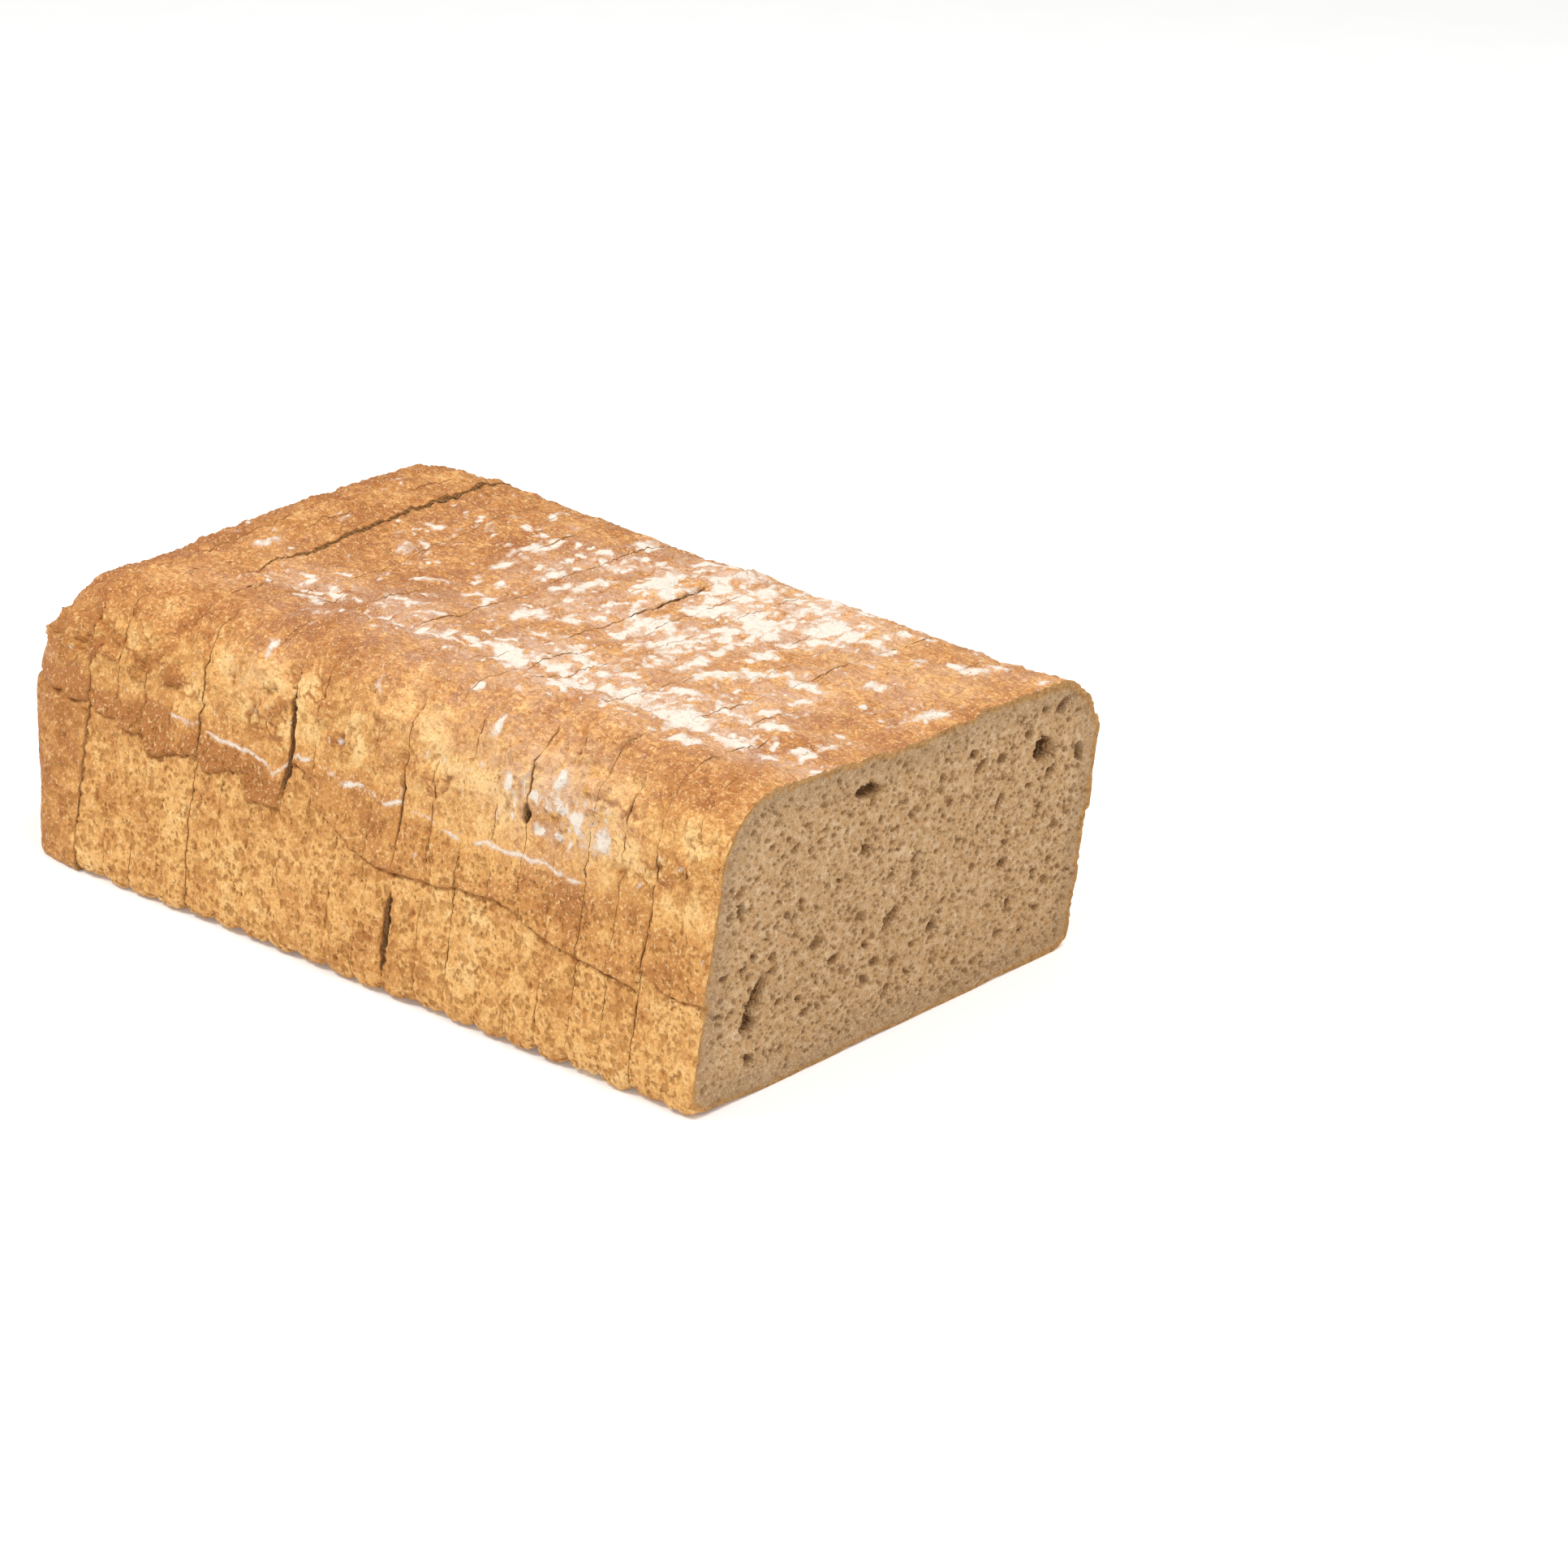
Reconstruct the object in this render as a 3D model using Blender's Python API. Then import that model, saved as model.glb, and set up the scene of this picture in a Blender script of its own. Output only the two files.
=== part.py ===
"""Sliced tin loaf: a rounded heel and 21 slices that still stand together.

Frame: metres, +Z up, the loaf lies on its flat base at z = 0.
X runs along the loaf, with the rounded heel at -X and the open cut at +X.
The origin is the middle of the loaf's base.
"""
import math

import bmesh
import bpy
import numpy as np
from mathutils import Vector

# ---------------------------------------------------------------- sizes
SLICE_COUNT = 21          # slices after the heel
SLICE_PITCH = 0.0120      # one slice with its saw cut
HEEL_LENGTH = 0.0330
SAW_GAP = 0.0003          # between two slices that touch

HALF_WIDTH = 0.0790       # half the loaf's width, side to side
SIDE_HEIGHT = 0.0862      # base to the top's shoulders at the open cut
NEAR_SHOULDER = 0.0180    # radius of the shoulder at -Y
FAR_SHOULDER = 0.0270     # radius of the shoulder at +Y
BASE_RADIUS = 0.0030      # edge between base and sides
LEAN = 0.205              # sideways lean of the whole loaf per metre of height
LEAN_HEIGHT = 0.0300      # height that the lean leaves in place

SADDLE_DEPTH = 0.0032     # dip along the middle of the top
SADDLE_WIDTH = 0.0300
SADDLE_Y = -0.0080
HEEL_FILL = 0.0058        # the dip is filled where the top meets the heel
HEEL_FILL_WIDTH = 0.0320
HEEL_FILL_Y = -0.0040
CROWN_RISE = 0.0035       # how much higher the top's middle is at mid length
FAR_RISE = 0.0036         # the far shoulder is higher near the heel
FAR_DROP = 0.0036         # and lower towards the open cut
BASE_TUCK = 0.0012        # how far the near side pulls in at the base

HEEL_SIDE_ROUND = 0.0150  # rounding of the heel's end, seen from above
HEEL_TOP_ROUND = 0.0230   # rounding of the heel's end, seen from the side
HEEL_BELLY = 0.28         # share of the heel's length that only its belly has
HEEL_BELLY_HEIGHT = 0.0530
HEEL_BELLY_SPREAD = 0.0270

EDGE_EASE = 0.00035       # the crust rounds off towards each cut
SLICE_SHIFT = 0.0006      # slices stand a little out of line
SLICE_SWELL = 0.0005      # and differ a little in size

SHIFT_X = 0.0166          # puts the middle of the base at the origin
SHIFT_Y = -0.0009

# cuts that stand open: cut number -> (wedge at its widest, height share there)
# a share of 1 opens at the top of the near side, 0 at its foot
OPEN_CUTS = {
    3: (0.0007, 1.0),
    7: (0.0022, 1.0),
    11: (0.0021, 0.0),
    15: (0.0007, 1.0),
    19: (0.0009, 1.0),
}

# points round one section
BASE_STEPS = 8
EDGE_STEPS = 3
SIDE_STEPS = 5
SHOULDER_STEPS = 6
TOP_STEPS = 10
HEEL_RINGS = 8
HEEL_DISC_RINGS = 4

CUT_X = SLICE_PITCH * SLICE_COUNT / 2.0
LOAF_TOP = SIDE_HEIGHT + CROWN_RISE


def smooth(a, b, x):
    t = np.clip((x - a) / (b - a), 0.0, 1.0)
    return t * t * (3.0 - 2.0 * t)


def rule(n, k):
    """A fixed uneven number from -1 to 1 for slice n."""
    v = math.sin(n * 12.9898 + k * 78.233) * 43758.5453
    return 2.0 * (v - math.floor(v)) - 1.0


def outline(half_width, height):
    """Rounded box outline, from the near foot along the base, up the far
    side, over the top and down the near side."""
    w, h, rb = half_width, height, BASE_RADIUS
    rf, rn = FAR_SHOULDER, NEAR_SHOULDER
    pts = []
    for i in range(BASE_STEPS):
        pts.append((-w + rb + (2 * w - 2 * rb) * i / BASE_STEPS, 0.0))
    for i in range(EDGE_STEPS):
        a = -math.pi / 2 + math.pi / 2 * i / EDGE_STEPS
        pts.append((w - rb + rb * math.cos(a), rb + rb * math.sin(a)))
    for i in range(SIDE_STEPS):
        pts.append((w, rb + (h - rf - rb) * i / SIDE_STEPS))
    for i in range(SHOULDER_STEPS):
        a = math.pi / 2 * i / SHOULDER_STEPS
        pts.append((w - rf + rf * math.cos(a), h - rf + rf * math.sin(a)))
    for i in range(TOP_STEPS):
        pts.append((w - rf - (2 * w - rf - rn) * i / TOP_STEPS, h))
    for i in range(SHOULDER_STEPS):
        a = math.pi / 2 + math.pi / 2 * i / SHOULDER_STEPS
        pts.append((-w + rn + rn * math.cos(a), h - rn + rn * math.sin(a)))
    for i in range(SIDE_STEPS):
        pts.append((-w, h - rn - (h - rn - rb) * i / SIDE_STEPS))
    for i in range(EDGE_STEPS):
        a = math.pi + math.pi / 2 * i / EDGE_STEPS
        pts.append((-w + rb + rb * math.cos(a), rb + rb * math.sin(a)))
    return np.array(pts)


def section(x, half_width=HALF_WIDTH, height=SIDE_HEIGHT, shift=0.0):
    """The loaf's section at x: the outline with its saddle, crown and lean."""
    pts = outline(half_width, height)
    y, z = pts[:, 0].copy(), pts[:, 1].copy()
    s = (x + CUT_X) / (2.0 * CUT_X)
    sc = min(max(s, 0.0), 1.0)
    top = smooth(0.55, 1.0, z / height)
    far = smooth(-0.02, 0.06, y)
    mid_rise = CROWN_RISE * 4.0 * sc * (1.0 - sc)
    far_rise = (FAR_RISE * math.exp(-((s - 0.08) / 0.20) ** 2)
                - FAR_DROP * float(smooth(0.30, 0.95, np.array(s)))
                + 0.0010 * math.exp(-((s - 0.70) / 0.12) ** 2))
    fill = HEEL_FILL * float(smooth(0.20, 0.02, np.array(s)))
    z = z + top * (fill * np.exp(-((y - HEEL_FILL_Y) / HEEL_FILL_WIDTH) ** 2)
                   - SADDLE_DEPTH * np.exp(-((y - SADDLE_Y) / SADDLE_WIDTH) ** 2)
                   + mid_rise * (1.0 - far) + far_rise * far)
    y = y + BASE_TUCK * np.exp(-(z / 0.006) ** 2) * smooth(0.0, 0.05, -y)
    y = y + LEAN * (z - LEAN_HEIGHT) + shift
    return y, z


def cut_half_gap(n, y, z):
    """Half the width of cut n at a point of its face: flat wedges."""
    g = np.full(len(y), SAW_GAP / 2.0 + 0.00001)
    if n in OPEN_CUTS:
        wedge, share = OPEN_CUTS[n]
        across = (HALF_WIDTH * 1.12 - y) / (HALF_WIDTH * 2.3)
        up = z / LOAF_TOP
        if share < 0.5:
            up = 1.0 - up
        g = g + wedge / 2.0 * (0.5 * across + 0.5 * up)
    return g


def ring(x_line, y, z):
    return np.stack([x_line + SHIFT_X, y + SHIFT_Y, z], axis=-1)


def slice_rings(n):
    """Rings of slice n (1 is next to the heel), from its -X face to its +X
    face. Both faces are flat."""
    x0 = -CUT_X + SLICE_PITCH * (n - 1)
    x1 = x0 + SLICE_PITCH
    shift = SLICE_SHIFT * rule(n, 1)
    swell = SLICE_SWELL * rule(n, 2)
    w = HALF_WIDTH + swell
    h = SIDE_HEIGHT + 0.5 * SLICE_SWELL * rule(n, 3)
    rings = []
    y, z = section(x0, w - EDGE_EASE, h - EDGE_EASE, shift)
    rings.append(ring(x0 + cut_half_gap(n - 1, y, z), y, z))
    y, z = section(0.5 * (x0 + x1), w, h, shift)
    rings.append(ring(np.full(len(y), 0.5 * (x0 + x1)), y, z))
    y, z = section(x1, w - EDGE_EASE, h - EDGE_EASE, shift)
    rings.append(ring(x1 - cut_half_gap(n, y, z), y, z))
    return rings


def heel_reach(z):
    """How far the heel's end stands from the first cut, by height."""
    belly = np.exp(-((z - HEEL_BELLY_HEIGHT) / HEEL_BELLY_SPREAD) ** 2)
    return HEEL_LENGTH * (1.0 - HEEL_BELLY + HEEL_BELLY * belly)


def heel_rings():
    """Rings of the heel from its rounded end to the first cut."""
    rings = []
    # the end's inner discs, smallest first
    y, z = section(-CUT_X - 0.005, HALF_WIDTH - HEEL_SIDE_ROUND,
                   SIDE_HEIGHT - HEEL_TOP_ROUND)
    cy, cz = 0.5 * (y.min() + y.max()), 0.45 * z.max()
    for i in range(1, HEEL_DISC_RINGS):
        f = i / HEEL_DISC_RINGS
        yy, zz = cy + (y - cy) * f, cz + (z - cz) * f
        rings.append(ring(-CUT_X - heel_reach(zz), yy, zz))
    for i in range(HEEL_RINGS, -1, -1):
        a = math.pi / 2 * i / HEEL_RINGS
        c = 1.0 - math.cos(a)
        ease = EDGE_EASE if i == 0 else 0.0
        y, z = section(-CUT_X - 0.005 * math.sin(a),
                       HALF_WIDTH - HEEL_SIDE_ROUND * c - ease,
                       SIDE_HEIGHT - HEEL_TOP_ROUND * c - ease)
        if i == 0:
            rings.append(ring(-CUT_X - cut_half_gap(0, y, z), y, z))
        else:
            rings.append(ring(-CUT_X - heel_reach(z) * math.sin(a), y, z))
    centre = (-CUT_X - float(heel_reach(np.array([cz]))[0]) + SHIFT_X,
              cy + SHIFT_Y, cz)
    return rings, centre


def bread_material(name, colour, roughness):
    mat = bpy.data.materials.new(name)
    mat.use_nodes = True
    bsdf = mat.node_tree.nodes["Principled BSDF"]
    bsdf.inputs["Base Color"].default_value = (*colour, 1.0)
    bsdf.inputs["Roughness"].default_value = roughness
    bsdf.inputs["Metallic"].default_value = 0.0
    mat.diffuse_color = (*colour, 1.0)
    return mat


def loft(name, rings, start_point, crust, crumb):
    """One closed solid from rings that run along +X."""
    bm = bmesh.new()
    loops = [[bm.verts.new(Vector(tuple(float(c) for c in p))) for p in r]
             for r in rings]
    count = len(loops[0])
    for a, b in zip(loops[:-1], loops[1:]):
        for j in range(count):
            k = (j + 1) % count
            bm.faces.new((a[j], a[k], b[k], b[j]))
    if start_point is None:
        face = bm.faces.new(list(reversed(loops[0])))
        face.material_index = 1
    else:
        tip = bm.verts.new(Vector(start_point))
        for j in range(count):
            bm.faces.new((tip, loops[0][(j + 1) % count], loops[0][j]))
    face = bm.faces.new(loops[-1])
    face.material_index = 1
    bmesh.ops.recalc_face_normals(bm, faces=bm.faces)
    bmesh.ops.triangulate(bm, faces=bm.faces)
    mesh = bpy.data.meshes.new(name)
    bm.to_mesh(mesh)
    bm.free()
    mesh.materials.append(crust)
    mesh.materials.append(crumb)
    mesh.shade_smooth()
    mesh.set_sharp_from_angle(angle=math.radians(40.0))
    obj = bpy.data.objects.new(name, mesh)
    bpy.context.scene.collection.objects.link(obj)
    return obj


def build():
    for obj in list(bpy.data.objects):
        bpy.data.objects.remove(obj, do_unlink=True)

    loaf = bpy.data.objects.new("loaf", None)
    bpy.context.scene.collection.objects.link(loaf)

    crumb = bread_material("crumb", (0.60, 0.49, 0.37), 0.95)
    rings, centre = heel_rings()
    heel = loft("heel", rings, centre,
                bread_material("crust_heel", (0.52, 0.31, 0.13), 0.85), crumb)
    heel.parent = loaf
    for n in range(1, SLICE_COUNT + 1):
        tone = 1.0 + 0.04 * rule(n, 4)
        crust = bread_material(
            "crust_slice_%02d" % n, (0.54 * tone, 0.33 * tone, 0.14 * tone), 0.85)
        obj = loft("slice_%02d" % n, slice_rings(n), None, crust, crumb)
        obj.parent = loaf


build()
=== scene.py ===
"""Looks of the sliced tin loaf: crust, crumb, flour, light and camera.

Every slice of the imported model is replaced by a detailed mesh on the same
section, pitch and places. Lengths in this file are millimetres until the
meshes are made.
"""
import math

import bpy
import numpy as np
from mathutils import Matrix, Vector
from mathutils.geometry import delaunay_2d_cdt


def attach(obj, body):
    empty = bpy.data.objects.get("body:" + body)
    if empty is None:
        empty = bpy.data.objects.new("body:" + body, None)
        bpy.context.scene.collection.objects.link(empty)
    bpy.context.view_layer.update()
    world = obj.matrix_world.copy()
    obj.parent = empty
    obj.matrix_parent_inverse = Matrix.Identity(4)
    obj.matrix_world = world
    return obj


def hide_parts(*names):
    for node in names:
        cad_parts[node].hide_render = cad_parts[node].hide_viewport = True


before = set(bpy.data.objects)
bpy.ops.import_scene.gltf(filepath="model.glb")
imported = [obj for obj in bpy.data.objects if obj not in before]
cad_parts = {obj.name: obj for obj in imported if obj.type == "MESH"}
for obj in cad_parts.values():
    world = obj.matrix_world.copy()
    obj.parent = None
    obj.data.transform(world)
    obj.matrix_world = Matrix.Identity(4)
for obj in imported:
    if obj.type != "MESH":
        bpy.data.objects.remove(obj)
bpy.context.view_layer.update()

# ------------------------------------------------------------- loaf's sizes
PITCH, COUNT = 12.0, 21
CUT = PITCH * COUNT / 2.0
HEEL = 33.0
W, H = 79.0, 86.2
RN, RF, RB = 18.0, 27.0, 3.0
LEAN, LEANZ = 0.205, 30.0
SHX, SHY = 16.6, -0.9
HP = math.pi / 2.0

LENGTHS = [RB * HP, H - RN - RB, RN * HP, 2 * W - RF - RN, RF * HP,
           H - RF - RB, RB * HP, 2 * W - 2 * RB]
ENDS = np.cumsum(LENGTHS)
TOTAL = float(ENDS[-1])
FOOT_FAR = float(ENDS[6])          # where the far side meets the base


def smooth(a, b, x):
    t = np.clip((np.asarray(x, float) - a) / (b - a), 0.0, 1.0)
    return t * t * (3.0 - 2.0 * t)


def bell(x, c, s):
    return np.exp(-((np.asarray(x, float) - c) / s) ** 2)


def rule(n, k):
    """A fixed uneven number from -1 to 1."""
    v = math.sin(n * 12.9898 + k * 78.233) * 43758.5453
    return 2.0 * (v - math.floor(v)) - 1.0


# ------------------------------------------------------------------- noise
def _mix(h):
    h = h.astype(np.uint32)
    h ^= h >> np.uint32(15)
    h *= np.uint32(0x2C1B3C6D)
    h ^= h >> np.uint32(12)
    h *= np.uint32(0x297A2D39)
    h ^= h >> np.uint32(15)
    return h


def _cell(ix, iy, iz, seed):
    with np.errstate(over="ignore"):
        h = (ix.astype(np.uint32) * np.uint32(73856093)
             ^ iy.astype(np.uint32) * np.uint32(19349663)
             ^ iz.astype(np.uint32) * np.uint32(83492791))
        return _mix(h + np.uint32((seed * 2654435761) % 4294967296))


GRADS = np.array([[1, 1, 0], [-1, 1, 0], [1, -1, 0], [-1, -1, 0],
                  [1, 0, 1], [-1, 0, 1], [1, 0, -1], [-1, 0, -1],
                  [0, 1, 1], [0, -1, 1], [0, 1, -1], [0, -1, -1],
                  [1, 1, 0], [-1, 1, 0], [0, -1, 1], [0, -1, -1]], np.float32)


def noise(p, size, seed=0):
    """Gradient noise from about -1 to 1. size is the wavelength, a number
    or one for each axis."""
    q = p / np.asarray(size, float)
    i = np.floor(q).astype(np.int64)
    f = (q - i).astype(np.float32)
    u = f * f * f * (f * (f * 6 - 15) + 10)
    out = np.zeros(q.shape[:-1], np.float32)
    for dx in (0, 1):
        for dy in (0, 1):
            for dz in (0, 1):
                h = _cell(i[..., 0] + dx, i[..., 1] + dy, i[..., 2] + dz, seed)
                g = GRADS[(h & np.uint32(15)).astype(np.int64)]
                d = (g[..., 0] * (f[..., 0] - dx) + g[..., 1] * (f[..., 1] - dy)
                     + g[..., 2] * (f[..., 2] - dz))
                w = ((u[..., 0] if dx else 1 - u[..., 0])
                     * (u[..., 1] if dy else 1 - u[..., 1])
                     * (u[..., 2] if dz else 1 - u[..., 2]))
                out += w * d
    return out * 1.25


def fbm(p, size, seed=0, octaves=3, gain=0.5):
    out, amp, total = 0.0, 1.0, 0.0
    size = np.asarray(size, float)
    for k in range(octaves):
        out = out + amp * noise(p + 17.3 * k, size / 2.0 ** k, seed + 31 * k)
        total += amp
        amp *= gain
    return out / total


def worley(p, size, seed=0, jitter=0.9):
    """Distance to the nearest and second nearest of scattered points, in
    units of size, and a fixed random number of the nearest one's cell."""
    q = p / np.asarray(size, float)
    i = np.floor(q).astype(np.int64)
    f1 = np.full(q.shape[:-1], 9.0, np.float32)
    f2 = np.full(q.shape[:-1], 9.0, np.float32)
    own = np.zeros(q.shape[:-1], np.float32)
    for dx in (-1, 0, 1):
        for dy in (-1, 0, 1):
            for dz in (-1, 0, 1):
                c = i + np.array([dx, dy, dz])
                h = _cell(c[..., 0], c[..., 1], c[..., 2], seed)
                r = [((h >> np.uint32(s)) & np.uint32(1023)).astype(np.float32)
                     / 1023.0 for s in (0, 10, 20)]
                d = np.sqrt(sum((c[..., k] + 0.5 + jitter * (r[k] - 0.5)
                                 - q[..., k]) ** 2 for k in range(3)))
                d = d.astype(np.float32)
                closer = d < f1
                f2 = np.where(closer, f1, np.minimum(f2, d))
                own = np.where(closer, r[0], own)
                f1 = np.where(closer, d, f1)
    return f1, f2, own


# --------------------------------------------------------- the loaf's shape
def outline(v, w, h):
    """Rounded box section; v runs from the near foot up the near side, over
    the top, down the far side and back along the base."""
    y = np.zeros(np.broadcast(v, w, h).shape)
    v, w, h, z = v + y, w + y, h + y, y.copy()
    e = ENDS

    def put(m, yy, zz):
        y[m] = (yy + 0 * v)[m]
        z[m] = (zz + 0 * v)[m]

    a = math.pi * 1.5 - (v / LENGTHS[0]) * HP
    put(v < e[0], -w + RB + RB * np.cos(a), RB + RB * np.sin(a))
    t = (v - e[0]) / LENGTHS[1]
    put((v >= e[0]) & (v < e[1]), -w, RB + (h - RN - RB) * t)
    a = math.pi - (v - e[1]) / LENGTHS[2] * HP
    put((v >= e[1]) & (v < e[2]), -w + RN + RN * np.cos(a),
        h - RN + RN * np.sin(a))
    t = (v - e[2]) / LENGTHS[3]
    put((v >= e[2]) & (v < e[3]), -w + RN + (2 * w - RF - RN) * t, h)
    a = HP - (v - e[3]) / LENGTHS[4] * HP
    put((v >= e[3]) & (v < e[4]), w - RF + RF * np.cos(a),
        h - RF + RF * np.sin(a))
    t = (v - e[4]) / LENGTHS[5]
    put((v >= e[4]) & (v < e[5]), w, h - RF - (h - RF - RB) * t)
    a = -(v - e[5]) / LENGTHS[6] * HP
    put((v >= e[5]) & (v < e[6]), w - RB + RB * np.cos(a), RB + RB * np.sin(a))
    t = (v - e[6]) / LENGTHS[7]
    put(v >= e[6], w - RB - (2 * w - 2 * RB) * t, 0 * v)
    return y, z


def section(x, v, w=W, h=H, shift=0.0):
    y, z = outline(v, w, h)
    s = (x + CUT) / (2 * CUT)
    sc = np.clip(s, 0, 1)
    top = smooth(0.55, 1.0, z / h)
    far = smooth(-20, 60, y)
    mid = 3.5 * 4 * sc * (1 - sc)
    rise = (3.6 * np.exp(-((s - 0.08) / 0.20) ** 2) - 3.6 * smooth(0.30, 0.95, s)
            + 1.0 * np.exp(-((s - 0.70) / 0.12) ** 2))
    fill = 5.8 * smooth(0.20, 0.02, s)
    z = z + top * (fill * np.exp(-((y + 4) / 32) ** 2)
                   - 3.2 * np.exp(-((y + 8) / 30) ** 2) + mid * (1 - far)
                   + rise * far)
    y = y + 1.2 * np.exp(-(z / 6.0) ** 2) * smooth(0, 50, -y)
    y = y + LEAN * (z - LEANZ) + shift
    return y, z


def perimeter():
    """Stations round the section: close on the near side and the top, wider
    on the base."""
    def run(a, b, step):
        n = max(2, int(round((b - a) / step)))
        return a + (b - a) * np.arange(n) / n
    e = ENDS
    return np.concatenate([
        run(0, e[0], 0.6), run(e[0], e[1], 0.56), run(e[1], e[2], 0.58),
        run(e[2], e[3], 0.66), run(e[3], e[4], 0.80), run(e[4], e[5], 0.85),
        run(e[5], e[6], 0.9), run(e[6], e[7], 2.6)])


V = perimeter()
M = len(V)

# ---------------------------------------------------- features of the crust
# fold line of the upper crust over the pitted side: along the loaf, height
SEAM = np.array([
    (-160, 57), (-126, 55), (-116, 52), (-107, 51), (-100, 50.5), (-98.5, 47),
    (-89, 47.5), (-86, 50), (-80, 50.5), (-73.5, 47.5), (-66, 48.5),
    (-57, 50.5), (-55.5, 42.0), (-50, 43.5), (-42.6, 43.8), (-41, 50),
    (-38, 57), (-32, 56.5), (-27.5, 48), (-17.5, 43), (-7.5, 39), (1, 37.5),
    (24.5, 39), (30, 40.5), (52, 40.5), (59, 38), (65, 36), (78, 34),
    (94, 32.5), (100.5, 31.5), (101.5, 37.5), (112, 33), (140, 33.5)], float)
FLOUR_LINE = np.array([
    (-160, 62), (-89, 58.5), (-80, 58), (-71, 57), (-60, 56.5), (-50, 55),
    (-45, 52), (-36, 60), (-29, 59), (-19, 57), (-9, 57.5), (0, 55.5),
    (6, 57), (14, 56), (26, 54), (31, 52.5), (40, 55), (63, 55), (75, 53),
    (88, 52), (140, 52)], float)
# creases of the top: along the loaf, place round the section
CREASE = np.array([(-112, 121), (-92, 118), (-58, 115.5), (-23, 111.5),
                   (8, 113), (32, 114.5), (64, 112.5), (81, 112), (93, 116),
                   (126, 118)], float)
# bulging folds of the near shoulder: x, v, length, height round, rise
LOBES = [(-112, 92, 11, 12, 0.9), (-70, 84, 17, 15, 1.3),
         (-27, 90, 16, 14, 1.5), (4, 101, 15, 9, 1.3), (33, 94, 14, 13, 1.5),
         (67, 92, 13, 14, 1.9), (97, 95, 13, 13, 1.2), (118, 90, 9, 14, 0.8),
         (-48, 100, 13, 8, 0.8), (50, 80, 12, 9, 0.8), (-95, 70, 10, 12, 0.6)]
# large flour blotches of the top: x, v, half length, half width, turn
BLOTCHES = [(50, 117, 13, 4.5, 0.1), (75, 115, 11, 7.5, 0.5),
            (117, 172, 4.5, 13, -0.2), (26, 118, 11, 3.2, 0.0),
            (-3, 117, 14, 2.6, 0.05), (-88, 179, 5, 3, 0.4),
            (-36, 198, 6, 3.5, 0.3), (35, 177, 11, 4.5, 0.5),
            (88, 101, 6, 5.5, 0.3), (-57, 84, 3, 4.5, 0.2),
            (62, 130, 9, 4, 0.3), (95, 128, 10, 5, 0.2),
            (-5, 150, 7, 3, 0.5), (12, 165, 6, 3, 0.3), (58, 150, 8, 4, 0.2),
            (80, 160, 9, 4, 0.1), (-40, 150, 6, 2.6, 0.4),
            (-66, 196, 4, 2.5, 0.2), (70, 200, 10, 3.5, 0.0),
            (98, 205, 8, 3, 0.1), (20, 205, 8, 3, 0.1), (112, 122, 6, 3, 0.5),
            (-70, 119, 12, 1.4, 0.0), (-45, 114, 12, 1.6, 0.05),
            (64, 76, 3.5, 6, 0.0), (73, 68, 3, 7, 0.2), (82, 66, 4, 5, 0.4),
            (46, 73, 3, 5, 0.2), (36, 84, 3, 4, 0.3), (20, 92, 3, 3, 0.3)]
# how wide each cut gapes: cut, centre, spread round the section, width
GAPES = [
    (7, 62, 13, 2.3), (7, 76, 8, 0.6), (11, 21, 12, 2.2), (11, 57, 26, 0.40),
    (3, 72, 22, 0.38), (3, 106, 9, 0.8), (15, 78, 12, 0.45), (15, 66, 2.6, 2.0),
    (19, 45, 26, 0.60), (19, 86, 14, 0.45), (20, 78, 24, 0.40),
    (20, 178, 26, 0.45), (19, 112, 12, 0.35), (11, 190, 26, 1.2),
    (11, 214, 9, 1.3), (2, 176, 58, 0.90), (2, 203, 16, 0.5), (1, 84, 22, 0.25),
    (2, 58, 12, 0.4), (19, 207, 14, 0.35),
    (4, 62, 12, 0.25), (16, 88, 12, 0.35), (18, 75, 10, 0.35),
    (14, 60, 10, 0.20), (13, 47, 9, 0.20), (17, 58, 10, 0.20),
    (9, 52, 7, 0.22), (18, 28, 9, 0.25), (16, 18, 8, 0.22), (13, 20, 9, 0.2),
    (6, 30, 10, 0.18), (9, 262, 24, 0.35), (13, 262, 22, 0.5),
    (17, 280, 20, 0.45), (4, 285, 20, 0.5), (6, 262, 14, 0.35)]


def cut_gape(n, v):
    side = smooth(104, 88, v) + smooth(250, 266, v)
    g = 0.02 + 0.12 * side * np.clip(noise(np.stack(
        [v, v * 0 + 7.7 * n, v * 0], -1), 9.0, 5) + 0.2, 0, 1)
    for m, c, s, width in GAPES:
        if m == n:
            broken = 1.0 if width > 0.7 else 0.10 + 0.95 * smooth(
                -0.25, 0.40, noise(np.stack([v, v * 0 + 3.1 * n, v * 0], -1), 8.0, 86))
            g = g + width * broken * np.clip(1 - ((v - c) / s) ** 2, 0, 1) ** 0.8
    return g


def cut_sway(n, v):
    """How far the saw cut strays along the loaf."""
    p = np.stack([v, v * 0 + 13.1 * n, v * 0], -1)
    sway = 0.40 * noise(p, 22.0, 9) + 0.34 * noise(p, 5.0, 10) \
        + 0.26 * noise(p, 2.2, 56)
    if n == 7:
        sway = sway + 3.3 * bell(v, 60, 11) - 1.2 * bell(v, 80, 7)
    if n == 20:
        sway = sway - 4.0 * smooth(140, 222, v) * smooth(262, 225, v)
    if n == 19:
        sway = sway - 3.6 * smooth(150, 222, v) * smooth(262, 225, v)
    if n == 18:
        sway = sway - 3.0 * smooth(150, 222, v) * smooth(262, 225, v)
    if n == 17:
        sway = sway - 1.5 * smooth(150, 222, v) * smooth(262, 225, v)
    return sway


def seam_height(x):
    k = (x + CUT) / PITCH
    hang = 1.9 * (0.5 - 0.5 * np.cos(2 * math.pi * k)) ** 0.6 * smooth(-52, -74, x)
    return np.interp(x, SEAM[:, 0], SEAM[:, 1]) - hang


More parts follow.
